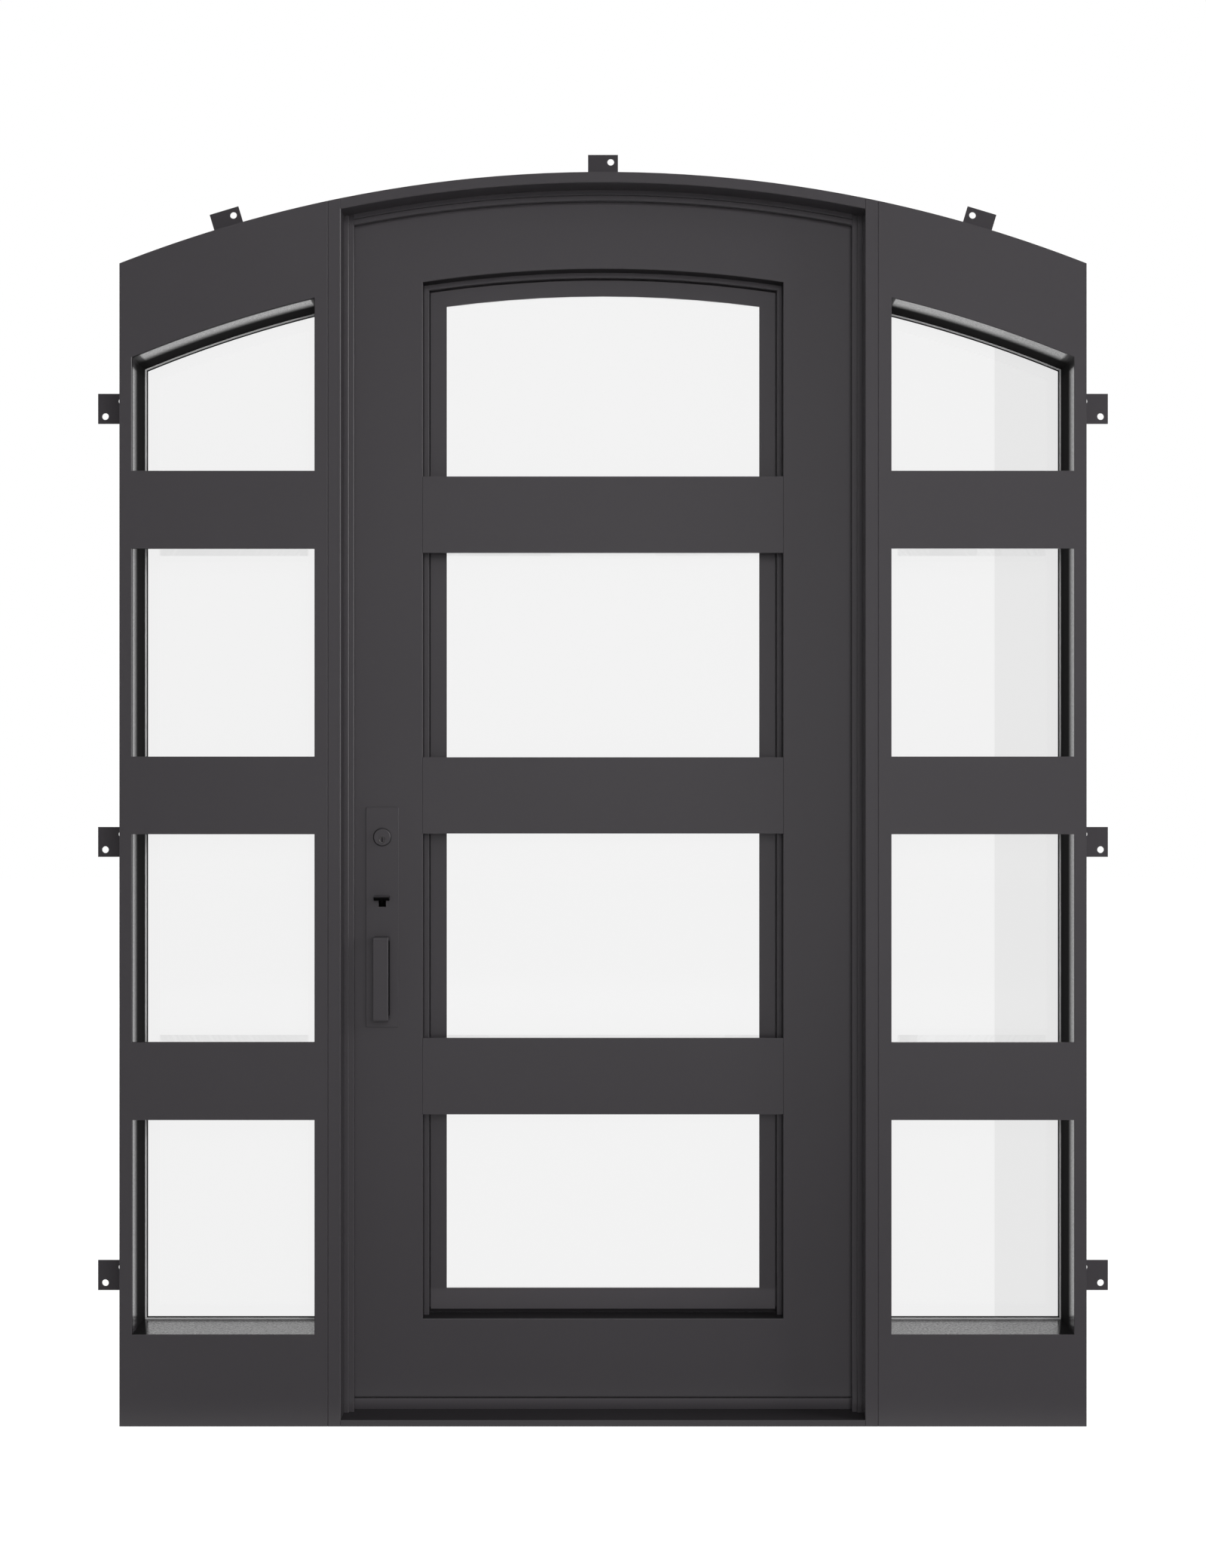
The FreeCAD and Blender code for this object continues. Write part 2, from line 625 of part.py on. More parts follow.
# Door leaf
LOCK_FRONT = f"(-({LEAF_OUT} - [lock_bevel]))"
SLOT_HALF = "([latch_stem_width] / 2 + [latch_clearance])"
STEM_TOP = f"({LATCH_Z} - [latch_drop] + [latch_stem_height] / 2)"
STEM_LOW = f"({LATCH_Z} - [latch_drop] - [latch_stem_height] / 2)"
SLOT_TOP = f"({STEM_TOP} + [latch_rise])"
SLOT_BOTTOM = f"({STEM_LOW} - [latch_travel])"
stile = new_body("lock_stile")
pad(stile, "lock_stile_pad", [upright(f"(-{LEAF_OUT})", f"(-{LIGHT_SIDE})", LEAF_BOTTOM, LEAF_ARCH)],
    LEAF_FACE, BACK)
sketch = sketch_on(stile, "XY_Plane", "lock_bevel_outline", "0")
loop(sketch, [
    (f"(-{LEAF_OUT})", LEAF_FACE),
    (LOCK_FRONT, LEAF_FACE),
    (f"(-{LEAF_OUT})", BACK),
])
bevel = stile.newObject("PartDesign::Pocket", "lock_bevel_cut")
bevel.Profile = sketch
bevel.Reversed = True
bind(bevel, "Length", "[apex_height]")
LIGHT_CORNER = arch_height(LIGHT_SIDE, LIGHT_ARCH)
cut_arris(stile, "lock_stile_arris", f"(-{LIGHT_SIDE})", 1, LEAF_FACE, LIGHT_BOTTOM, LIGHT_CORNER)
pocket(stile, "latch_recess", [[
    (f"({LOCK_X} - {SLOT_HALF})", SLOT_BOTTOM),
    (f"({LOCK_X} + {SLOT_HALF})", SLOT_BOTTOM),
    (f"({LOCK_X} + {SLOT_HALF})", SLOT_TOP),
    (f"({LOCK_X} - {SLOT_HALF})", SLOT_TOP),
]], LEAF_FACE, f"({LEAF_FACE} + [latch_box_depth])")
keep(stile, "lock_stile")

stile = new_body("hinge_stile")
pad(stile, "hinge_stile_pad", [upright(LIGHT_SIDE, LEAF_OUT, LEAF_BOTTOM, LEAF_ARCH)], LEAF_FACE, BACK)
cut_arris(stile, "hinge_stile_arris", LIGHT_SIDE, -1, LEAF_FACE, LIGHT_BOTTOM, LIGHT_CORNER)
keep(stile, "hinge_stile")
top_rail = new_body("leaf_top_rail")
pad(top_rail, "leaf_top_rail_pad", [arched_band(f"(-{LIGHT_SIDE})", LIGHT_SIDE, LEAF_ARCH, LIGHT_ARCH)],
    LEAF_FACE, BACK)
chamfer_edges(top_rail, "leaf_top_rail_arris", arch_edges(LEAF_FACE, LIGHT_ARCH), "[arris]")
keep(top_rail, "leaf_top_rail")
rail("leaf_bottom_rail", f"(-{LIGHT_SIDE})", LIGHT_SIDE, LEAF_FACE, BACK, LEAF_BOTTOM, LIGHT_BOTTOM)
crossbars("leaf_crossbars", f"-{LIGHT_SIDE}", f"2 * {LIGHT_SIDE}", LEAF_FACE, "[leaf_bar_thick]")

# Stop round the sides and top of the opening light
LIGHT_STOP_FACE = f"({LEAF_FACE} + [light_stop_front])"
LIGHT_STOP_BACK = f"({LIGHT_STOP_FACE} + [light_stop_thick])"
STOP_SIDE = f"({LIGHT_SIDE} - [light_stop_width])"
STOP_TOP = f"({LIGHT_ARCH} - [light_stop_width])"
stop = new_body("light_stop")
pad(stop, "light_stop_pad", [[
    (f"(-{LIGHT_SIDE})", LIGHT_BOTTOM),
    (f"(-{STOP_SIDE})", LIGHT_BOTTOM),
    (f"(-{STOP_SIDE})", arch_height(STOP_SIDE, STOP_TOP), STOP_TOP),
    (STOP_SIDE, arch_height(STOP_SIDE, STOP_TOP)),
    (STOP_SIDE, LIGHT_BOTTOM),
    (LIGHT_SIDE, LIGHT_BOTTOM),
    (LIGHT_SIDE, arch_height(LIGHT_SIDE, LIGHT_ARCH), LIGHT_ARCH),
    (f"(-{LIGHT_SIDE})", arch_height(LIGHT_SIDE, LIGHT_ARCH)),
]], LIGHT_STOP_FACE, LIGHT_STOP_BACK)
chamfer_edges(stop, "light_stop_arris", either(
    upright_edges(LIGHT_STOP_FACE, [f"-{STOP_SIDE}", STOP_SIDE]),
    arch_edges(LIGHT_STOP_FACE, STOP_TOP)), "[arris]")
keep(stop, "light_stop")

# Opening light: frame with a flange behind the stop, glass and inner crossbars
LIGHT_OUT = f"({STOP_SIDE} - [light_gap])"
LIGHT_TOP = f"({STOP_TOP} - [light_gap])"
LIGHT_LOW = f"({LIGHT_BOTTOM} + [light_bottom_gap])"
LIGHT_FACE = f"({LEAF_FACE} + [light_front])"
LIGHT_IN = f"({LIGHT_OUT} - [light_face])"
LIGHT_IN_TOP = f"({LIGHT_TOP} - [light_face])"
LIGHT_IN_LOW = f"({LIGHT_LOW} + [light_bottom_face])"
PANE_FACE = f"({LIGHT_FACE} + [light_lip])"
PANE_BACK = f"({PANE_FACE} + [glass_thick])"
inner = opening(f"(-{LIGHT_IN})", LIGHT_IN, LIGHT_IN_LOW, LIGHT_IN_TOP)
light = new_body("light_frame")
pad(light, "light_frame_pad", [opening(f"(-{LIGHT_OUT})", LIGHT_OUT, LIGHT_LOW, LIGHT_TOP), inner],
    LIGHT_FACE, BACK)
pad(light, "light_flange_pad", [
    opening(f"(-{LIGHT_OUT})", LIGHT_OUT, LIGHT_LOW, LIGHT_TOP, "(-[light_flange])"), inner],
    LIGHT_STOP_BACK, BACK)
pane_outline = opening(f"(-{LIGHT_IN})", LIGHT_IN, LIGHT_IN_LOW, LIGHT_IN_TOP, "(-[light_bite])")
pocket(light, "light_rebate", [pane_outline], PANE_FACE, PANE_BACK)
keep(light, "light_frame")
pane = new_body("door_glass")
pad(pane, "door_glass_pad", [pane_outline], PANE_FACE, PANE_BACK)
keep(pane, "door_glass")
crossbars("leaf_inner_crossbars", f"-{LIGHT_IN}", f"2 * {LIGHT_IN}", PANE_BACK,
          f"({BACK} - {PANE_BACK})")


# Lock set
def lock_plate(name, front, back, slotted):
    """A plate with round corners and, outside, the slot of the thumb latch."""
    body = new_body(name)
    left = f"({LOCK_X} - [plate_width] / 2)"
    right = f"({LOCK_X} + [plate_width] / 2)"
    loops = [[(left, "[plate_bottom]"), (right, "[plate_bottom]"), (right, PLATE_TOP), (left, PLATE_TOP)]]
    if slotted:
        loops.append([
            (f"({LOCK_X} - {SLOT_HALF})", SLOT_BOTTOM),
            (f"({LOCK_X} + {SLOT_HALF})", SLOT_BOTTOM),
            (f"({LOCK_X} + {SLOT_HALF})", SLOT_TOP),
            (f"({LOCK_X} - {SLOT_HALF})", SLOT_TOP),
        ])
    pad(body, f"{name}_pad", loops, front, back)
    edges = [number(left), number(right)]
    round_edges(body, f"{name}_corners", lambda edge: (
        near(samples(edge)[0].x, samples(edge)[2].x) and near(samples(edge)[0].z, samples(edge)[2].z)
        and any(near(samples(edge)[0].x, place) for place in edges)), "[plate_corner]")
    face = number(front if slotted else back)
    rim = number("[plate_width] / 2 - [plate_corner]") - TOUCH
    chamfer_edges(body, f"{name}_arris", lambda edge: (
        all(near(point.y, face) for point in samples(edge))
        and max(abs(point.x - number(LOCK_X)) for point in samples(edge)) > rim), "[plate_arris]")
    return keep(body, name)


def turned(name, height, axis_front, outward, profile):
    """A round piece on the axis of the lock set; the profile is (radius, stand-out) pairs."""
    body = new_body(name)
    sketch = sketch_on(body, "XY_Plane", f"{name}_outline", "0")
    loop(sketch, [(radius, f"({outward} * ({stand}))") for radius, stand in profile])
    feature = body.newObject("PartDesign::Revolution", f"{name}_turn")
    feature.Profile = sketch
    feature.ReferenceAxis = (sketch, ["V_Axis"])
    feature.Angle = 360
    bind(body, "Placement.Base.x", LOCK_X)
    bind(body, "Placement.Base.y", axis_front)
    bind(body, "Placement.Base.z", height)
    keep(body, name)
    return body


def pull(name, plate_face, outward):
    """A D-shaped pull in side view, carried across its width."""
    body = new_body(name)
    sketch = sketch_on(body, "YZ_Plane", f"{name}_outline", f"({LOCK_X} - [pull_width] / 2)")
    out = f"({plate_face} + {outward} * [pull_stand])"
    grip = f"({plate_face} + {outward} * ([pull_stand] - [pull_thick]))"
    inner_low = f"({PULL_BOTTOM} + [pull_foot])"
    inner_high = f"({PULL_TOP} - [pull_foot])"
    loop(sketch, [
        (plate_face, PULL_BOTTOM),
        (out, PULL_BOTTOM),
        (out, PULL_TOP),
        (plate_face, PULL_TOP),
        (plate_face, inner_high),
        (grip, inner_high),
        (grip, inner_low),
        (plate_face, inner_low),
    ])
    feature = body.newObject("PartDesign::Pad", f"{name}_pad")
    feature.Profile = sketch
    bind(feature, "Length", "[pull_width]")
    round_edges(body, f"{name}_corners", either(
        level_edges(out, PULL_BOTTOM), level_edges(out, PULL_TOP)), "[pull_corner]")
    round_edges(body, f"{name}_inner_corners", either(
        level_edges(grip, inner_low), level_edges(grip, inner_high)), "[pull_inner_corner]")
    sides = [f"({LOCK_X} - [pull_width] / 2)", f"({LOCK_X} + [pull_width] / 2)"]
    chamfer_edges(body, f"{name}_arris", upright_edges(out, sides), "[arris]")
    return keep(body, name)


PLATE_FACE = f"({LEAF_FACE} - [plate_thick])"
INNER_PLATE_FACE = f"({BACK} + [plate_thick])"
lock_plate("lock_plate", PLATE_FACE, LEAF_FACE, True)
lock_plate("inner_lock_plate", BACK, INNER_PLATE_FACE, False)
lock_cylinder = turned("lock_cylinder", CYLINDER_Z, PLATE_FACE, "-1", [
    ("0", "0"),
    ("[cylinder_radius]", "0"),
    ("[cylinder_radius]", "[cylinder_stand] / 2"),
    ("[cylinder_radius] - [cylinder_stand] / 2", "[cylinder_stand]"),
    ("0", "[cylinder_stand]"),
])
CYLINDER_FACE = "(-[cylinder_stand])"
PLUG_FACE = "([plug_depth] - [cylinder_stand])"
KEYWAY_LOW = "(-[plug_drop] - [keyway_height] / 2)"
KEYWAY_TOP = "(-[plug_drop] + [keyway_height] / 2)"
sketch = sketch_on(lock_cylinder, "XZ_Plane", "plug_outline", f"-{CYLINDER_FACE}")
ring(sketch, "0", "-[plug_drop]", "[plug_radius]")
feature = lock_cylinder.newObject("PartDesign::Pocket", "plug_recess")
feature.Profile = sketch
bind(feature, "Length", "[plug_depth]")
pocket(lock_cylinder, "keyway", [[
    ("-[keyway_width] / 2", KEYWAY_LOW),
    ("[keyway_width] / 2", KEYWAY_LOW),
    ("[keyway_width] / 2", KEYWAY_TOP),
    ("-[keyway_width] / 2", KEYWAY_TOP),
]], PLUG_FACE, f"({PLUG_FACE} + [keyway_depth])")
pull("pull_handle", PLATE_FACE, "-1")
pull("inner_pull", INNER_PLATE_FACE, "1")

turned("turn_rose", CYLINDER_Z, INNER_PLATE_FACE, "1", [
    ("0", "0"),
    ("[cylinder_radius]", "0"),
    ("[cylinder_radius]", "[cylinder_stand] / 2"),
    ("[cylinder_radius] - [cylinder_stand] / 2", "[cylinder_stand]"),
    ("0", "[cylinder_stand]"),
])
keep(block("thumb_turn", f"{LOCK_X} - [turn_thick] / 2", f"{INNER_PLATE_FACE} + [cylinder_stand]",
           f"{CYLINDER_Z} - [turn_width] / 2", "[turn_thick]", "[turn_stand] - [cylinder_stand]",
           "[turn_width]"), "thumb_turn")

# Thumb latch: a broad thumb piece on a narrow stem, which turns on a pin in the stile
latch = new_body("thumb_latch")
sketch = sketch_on(latch, "YZ_Plane", "latch_stem_outline", f"({LOCK_X} - [latch_stem_width] / 2)")
PIVOT_Y = f"({LEAF_FACE} + [latch_pivot_depth])"
STEM_END = f"({PIVOT_Y} + [latch_pin] / 2 + [latch_tail])"
loop(sketch, [
    (f"({PLATE_FACE} - [latch_head_reach] / 2)", STEM_LOW),
    (STEM_END, STEM_LOW),
    (STEM_END, STEM_TOP),
    (f"({PLATE_FACE} - [latch_head_reach] / 2)", STEM_TOP),
])
feature = latch.newObject("PartDesign::Pad", "latch_stem")
feature.Profile = sketch
bind(feature, "Length", "[latch_stem_width]")
HEAD_HALF = "([latch_head_width] / 2)"
HEAD_LOW = f"({LATCH_Z} - [latch_head_thick] / 2)"
HEAD_TOP = f"({LATCH_Z} + [latch_head_thick] / 2)"
HEAD_FRONT = f"({PLATE_FACE} - [latch_head_reach])"
pad(latch, "latch_head", [[
    (f"({LOCK_X} - {HEAD_HALF})", HEAD_LOW),
    (f"({LOCK_X} + {HEAD_HALF})", HEAD_LOW),
    (f"({LOCK_X} + {HEAD_HALF})", HEAD_TOP),
    (f"({LOCK_X} - {HEAD_HALF})", HEAD_TOP),
]], HEAD_FRONT, f"({PLATE_FACE} - [latch_clearance])")
round_edges(latch, "latch_nose_round", level_edges(HEAD_FRONT, HEAD_LOW), "[latch_nose]")
sketch = sketch_on(latch, "YZ_Plane", "latch_pin_outline",
                   f"({LOCK_X} - {SLOT_HALF} + [seat_gap])")
ring(sketch, PIVOT_Y, f"({LATCH_Z} - [latch_drop])", "[latch_pin] / 2")
feature = latch.newObject("PartDesign::Pad", "latch_pin")
feature.Profile = sketch
bind(feature, "Length", f"2 * ({SLOT_HALF} - [seat_gap])")
keep(latch, "thumb_latch")

# Hinges: the lower barrel and pin on the jamb, the upper barrel on the leaf
HINGE_X = f"({JAMB_IN} - [leaf_gap] / 2)"
HINGE_Y = f"({BACK} + [hinge_offset])"


def cylinder(name, bottom, radius, height):
    """An upright cylinder on the hinge axis."""
    piece = doc.addObject("Part::Cylinder", name)
    bind(piece, "Placement.Base.x", HINGE_X)
    bind(piece, "Placement.Base.y", HINGE_Y)
    bind(piece, "Placement.Base.z", bottom)
    bind(piece, "Radius", radius)
    bind(piece, "Height", height)
    return piece


def fuse(name, pieces):
    """Pieces made as one."""
    whole = doc.addObject("Part::MultiFuse", name)
    whole.Shapes = pieces
    return whole


frame_parts = []
leaf_parts = []
for row in range(int(number("[hinge_count]"))):
    middle = f"([hinge_low] + {row} * {HINGE_PITCH})"
    barrel = "([hinge_length] / 2 - [hinge_washer] / 2)"
    foot = f"({middle} - [hinge_length] / 2)"
    lower = cylinder(f"hinge_lower_{row + 1}", foot, "[hinge_radius]", barrel)
    pin = cylinder(f"hinge_pin_{row + 1}", foot, "[hinge_pin] / 2", "[hinge_length] - [hinge_radius]")
    flange = block(f"hinge_frame_flange_{row + 1}", JAMB_IN, BACK, foot, "[hinge_flange]",
                   "[hinge_flange_thick]", barrel)
    frame_parts.append(fuse(f"frame_hinge_{row + 1}", [lower, pin, flange]))
    seat = f"({middle} + [hinge_washer] / 2)"
    upper = cylinder(f"hinge_upper_{row + 1}", seat, "[hinge_radius]", barrel)
    flange = block(f"hinge_leaf_flange_{row + 1}", f"({LEAF_OUT} - [hinge_flange])", BACK, seat,
                   "[hinge_flange]", "[hinge_flange_thick]", barrel)
    whole = fuse(f"hinge_upper_whole_{row + 1}", [upper, flange])
    bore = cylinder(f"hinge_bore_{row + 1}", f"({seat} - [hinge_washer])",
                    "[hinge_pin] / 2 + [hinge_running]",
                    "[hinge_length] / 2 - [hinge_radius] + [hinge_washer] + [seat_gap]")
    cut = doc.addObject("Part::Cut", f"leaf_hinge_{row + 1}")
    cut.Base = whole
    cut.Tool = bore
    leaf_parts.append(cut)
group("frame_hinges", frame_parts)
group("leaf_hinges", leaf_parts)

# Check every object, then write each piece
doc.recompute()
for item in doc.Objects:
    if "Invalid" in item.State or "Error" in item.State:
        raise RuntimeError(f"{item.Label} did not build: {item.State}")
os.makedirs("parts", exist_ok=True)
for item in nodes:
    if item.Shape.isNull() or not item.Shape.isValid() or not item.Shape.Solids:
        raise RuntimeError(f"{item.Label} has no valid solid")
for item in nodes:
    item.Shape.exportStep(f"parts/{item.Label}.step")
print(len(nodes), "nodes")
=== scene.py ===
"""Dresses the packed arched entry door and its two sidelights.

It adds their finishes, seals and screws, the studio and the camera.
"""

import math

import bmesh
import bpy
import numpy as np
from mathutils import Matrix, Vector


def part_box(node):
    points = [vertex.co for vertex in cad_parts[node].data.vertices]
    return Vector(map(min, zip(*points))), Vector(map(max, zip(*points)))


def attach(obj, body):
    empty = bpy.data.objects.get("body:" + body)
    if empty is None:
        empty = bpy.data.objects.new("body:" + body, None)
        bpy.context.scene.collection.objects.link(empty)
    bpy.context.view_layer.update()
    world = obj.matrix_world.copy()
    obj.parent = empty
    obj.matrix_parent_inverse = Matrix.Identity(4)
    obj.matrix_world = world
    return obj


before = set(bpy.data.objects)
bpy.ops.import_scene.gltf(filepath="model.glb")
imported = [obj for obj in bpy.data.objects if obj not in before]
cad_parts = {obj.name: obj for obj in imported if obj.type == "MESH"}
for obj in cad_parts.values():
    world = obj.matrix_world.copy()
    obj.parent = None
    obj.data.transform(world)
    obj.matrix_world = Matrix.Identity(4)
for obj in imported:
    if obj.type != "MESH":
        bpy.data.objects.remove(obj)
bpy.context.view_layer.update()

bl_info = {
    "name": "Arched entry door with sidelights",
    "version": (1, 0, 0),
    "blender": (4, 5, 0),
    "location": "View3D > Sidebar > Entry door",
    "description": "Paint, glass, seals, lock set and studio for an arched steel entry unit",
    "category": "Object",
}

# Places read from the packed solids, in metres: (low corner, high corner)
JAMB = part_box("left_jamb")
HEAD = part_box("head_jamb")
OUTER_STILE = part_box("left_outer_stile")
INNER_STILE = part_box("left_inner_stile")
SIDE_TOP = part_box("left_top_rail")
SIDE_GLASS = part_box("left_glass")
DOOR_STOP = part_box("left_stop")
LEAF_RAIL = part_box("leaf_bottom_rail")
LOCK_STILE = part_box("lock_stile")
LIGHT_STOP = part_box("light_stop")
LIGHT_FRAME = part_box("light_frame")
INNER_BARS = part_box("leaf_inner_crossbars")
SIDE_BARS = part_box("left_inner_crossbars")
LOCK_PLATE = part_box("lock_plate")
THUMB_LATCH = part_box("thumb_latch")
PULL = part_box("pull_handle")
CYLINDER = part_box("lock_cylinder")
INNER_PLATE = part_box("inner_lock_plate")
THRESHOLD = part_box("threshold")

# Front and back faces of the frame
FRONT = JAMB[0].y
BACK = JAMB[1].y

# The arch of the whole unit: its half width, its top and its rise give its radius and centre,
# and the corners of the head and of the sidelight's glass give the radii under it
UNIT_HALF = -OUTER_STILE[0].x
APEX = HEAD[1].z
SPRING_RISE = 0.1778
ARCH = (UNIT_HALF ** 2 + SPRING_RISE ** 2) / (2 * SPRING_RISE)
ARCH_CENTRE = APEX - ARCH
HEAD_ARCH = math.hypot(JAMB[1].x, HEAD[0].z - ARCH_CENTRE)
SIDE_ARCH = math.hypot(OUTER_STILE[1].x, SIDE_TOP[0].z - ARCH_CENTRE)

# The picture that the camera frames, in its own pixels
PICTURE_HEIGHT = 2080
HORIZON_DROP = 15

MM = 0.001

# Weight of the clear coat on a plain painted face
COAT = 0.8
CHARCOAL = (0.0375, 0.0347, 0.0380)

# Share by which paint under a thin coat is rougher, in the sidelights and on the opening light
MATTING = 0.6


# Shader maths
class Number:
    """A value socket. Each sum with it adds one Math node."""

    def __init__(self, finish, socket):
        self.finish = finish
        self.socket = socket

    def math(self, operation, *others):
        sockets = {index: getattr(other, "socket", other) for index, other in enumerate(others)}
        return self.finish.number("ShaderNodeMath", {"operation": operation}, sockets)

    def __add__(self, other):
        return self.math("ADD", self, other)

    def __radd__(self, other):
        return self.math("ADD", other, self)

    def __sub__(self, other):
        return self.math("SUBTRACT", self, other)

    def __rsub__(self, other):
        return self.math("SUBTRACT", other, self)

    def __mul__(self, other):
        return self.math("MULTIPLY", self, other)

    def __rmul__(self, other):
        return self.math("MULTIPLY", other, self)

    def __abs__(self):
        return self.math("ABSOLUTE", self)

    def larger(self, other):
        return self.math("MAXIMUM", self, other)

    def rising(self, low, high):
        """Smoothly 0 below low and 1 above high."""
        settings = {"interpolation_type": "SMOOTHSTEP"}
        sockets = {"Value": self.socket, "From Min": low, "From Max": high}
        return self.finish.number("ShaderNodeMapRange", settings, sockets)

    def falling(self, low, high):
        """Smoothly 1 below low and 0 above high."""
        return 1 - self.rising(low, high)

    def behind(self, face, start=1.0 * MM, fade=0.6 * MM):
        """For a depth: 0 on a face and just behind it, 1 further back."""
        return self.rising(face + start, face + start + fade)

    def before(self, face, start=1.0 * MM, fade=0.6 * MM):
        """For a depth: 0 on a rear face and just before it, 1 further forwards."""
        return self.falling(face - start - fade, face - start)


class Finish:
    """A node tree under way, of a material or of the world."""

    def __init__(self, owner):
        self.owner = owner
        owner.use_nodes = True
        self.tree = owner.node_tree
        self.tree.nodes.clear()

    def node(self, kind, settings=(), sockets=()):
        """Any node: its settings first, then the values or links of its sockets."""
        node = self.tree.nodes.new(kind)
        for name, value in dict(settings).items():
            setattr(node, name, value)
        for name, value in dict(sockets).items():
            value = getattr(value, "socket", value)
            if isinstance(value, bpy.types.NodeSocket):
                self.tree.links.new(value, node.inputs[name])
            else:
                node.inputs[name].default_value = value
        return node

    def number(self, kind, settings=(), sockets=(), output=0):
        """The same, as a value that sums can use."""
        return Number(self, self.node(kind, settings, sockets).outputs[output])

    def place(self):
        """Object coordinates, in metres in the frame of the whole unit."""
        return self.node("ShaderNodeTexCoord").outputs["Object"]

    def across_depth_height(self):
        parts = self.node("ShaderNodeSeparateXYZ", (), {"Vector": self.place()}).outputs
        return [Number(self, part) for part in parts]

    def grain(self, scale, detail=2.0, stretch=(1, 1, 1)):
        """Noise from 0 to 1; scale is in features to the metre."""
        spread = self.node("ShaderNodeMapping", (), {"Vector": self.place(), "Scale": stretch})
        sockets = {"Vector": spread.outputs[0], "Scale": scale, "Detail": detail}
        return self.number("ShaderNodeTexNoise", (), sockets)

    def blend(self, share, first, second):
        """A colour between two."""
        sockets = {"Factor": share, "A": (*first, 1), "B": (*second, 1)}
        node = self.tree.nodes.new("ShaderNodeMix")
        node.data_type = "RGBA"
        for name, value in sockets.items():
            socket = next(item for item in node.inputs
                          if item.name == name and item.enabled)
            value = getattr(value, "socket", value)
            if isinstance(value, bpy.types.NodeSocket):
                self.tree.links.new(value, socket)
            else:
                socket.default_value = value
        return next(item for item in node.outputs if item.enabled)

    def bump(self, height, depth):
        """A normal from a height of 0 to 1 that stands for a depth in metres."""
        return self.node("ShaderNodeBump", (), {"Height": height, "Distance": depth}).outputs[0]

    def surface(self, **sockets):
        """The Principled shader on the material's output."""
        named = {name.replace("_", " ").title().replace("Ior", "IOR"): value
                 for name, value in sockets.items()}
        shader = self.node("ShaderNodeBsdfPrincipled", (), named)
        self.node("ShaderNodeOutputMaterial", (), {"Surface": shader.outputs[0]})
        return self.owner


def finish(name):
    return Finish(bpy.data.materials.new(name))


def dress(material, *names):
    """Give CAD nodes a material in all of their slots."""
    for name in names:
        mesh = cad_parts[name].data
        if not mesh.materials:
            mesh.materials.append(material)
        for index in range(len(mesh.materials)):
            mesh.materials[index] = material


# Surfaces
def grid_faces(rows, columns, wrap_rows=False, wrap_columns=False, first=0):
    """Quads of a rows by columns grid of vertices, closed round either way on request."""
    row = np.arange(rows if wrap_rows else rows - 1)[:, None]
    column = np.arange(columns if wrap_columns else columns - 1)[None, :]
    next_row, next_column = (row + 1) % rows, (column + 1) % columns
    quads = np.stack([row * columns + column + 0 * next_row, row * columns + next_column,
                      next_row * columns + next_column, next_row * columns + column], axis=-1)
    return quads.reshape(-1, 4) + first


def solid_piece(name, vertices, faces, material, body, slot, smooth_degrees=35):
    """A closed mesh that rides on a body. Doubles are merged and its faces are turned outwards."""
    mesh = bpy.data.meshes.new(name)
    mesh.from_pydata([tuple(vertex) for vertex in vertices], [], [list(face) for face in faces])
    work = bmesh.new()
    work.from_mesh(mesh)
    bmesh.ops.remove_doubles(work, verts=work.verts, dist=1e-7)
    bmesh.ops.recalc_face_normals(work, faces=work.faces)
    work.to_mesh(mesh)
    work.free()
    mesh.shade_smooth()
    mesh.set_sharp_from_angle(angle=math.radians(smooth_degrees))
    piece = bpy.data.objects.new(name, mesh)
    bpy.context.scene.collection.objects.link(piece)
    mesh.materials.append(material)
    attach(piece, body)
    return piece


def arch_height(across, radius):
    """Height of an arch of a given radius about the arch centre."""
    return ARCH_CENTRE + np.sqrt(radius ** 2 - np.asarray(across) ** 2)


def opening_path(left, right, bottom, radius, steps=40):
    """Closed outline of an arched opening, as (across, height).

    It runs along the two feet, then over the arc from right to left.
    """
    across = np.linspace(right, left, steps)
    arc = np.column_stack([across, arch_height(across, radius)])
    return np.vstack([[(left, bottom), (right, bottom)], arc])


def doorway_path(half, bottom, radius, steps=40):
    """Open outline up one side, over the arch and down the other, as (across, height)."""
    across = np.linspace(half, -half, steps)
    arc = np.column_stack([across, arch_height(across, radius)])
    return np.vstack([[(half, bottom)], arc, [(-half, bottom)]])


def mitres(path, closed):
    """For each corner of a path, the vector that moves it one unit inwards off both of its edges.

    With unit normals n and m of the two edges it is (n + m) / (1 + n.m).
    """
    edges = np.roll(path, -1, axis=0) - path
    edges /= np.linalg.norm(edges, axis=1, keepdims=True)
    normals = np.column_stack([-edges[:, 1], edges[:, 0]])
    before = np.roll(normals, 1, axis=0)
    if not closed:
        normals[-1] = normals[-2]
        before[0] = normals[0]
    return (normals + before) / (1 + np.sum(normals * before, axis=1, keepdims=True))


def carried(path, profile, depth, closed=True):
    """A profile carried along a path in elevation.

    Vertex (i, j) is path i moved profile j's first number inwards along the mitre, at depth plus
    profile j's second number. Returns the vertices and the faces, with caps on an open path.
    """
    profile = np.asarray(profile, float)
    plan = path[:, None, :] + profile[None, :, :1] * mitres(path, closed)[:, None, :]
    deep = np.broadcast_to(depth + profile[None, :, 1], plan.shape[:2])
    vertices = np.stack([plan[..., 0], deep, plan[..., 1]], axis=-1).reshape(-1, 3)
    rows, columns = len(path), len(profile)
    faces = grid_faces(rows, columns, wrap_rows=closed, wrap_columns=True).tolist()
    if not closed:
        faces.append(list(range(columns)))
        faces.append(list(range((rows - 1) * columns, rows * columns)))
    return vertices, faces


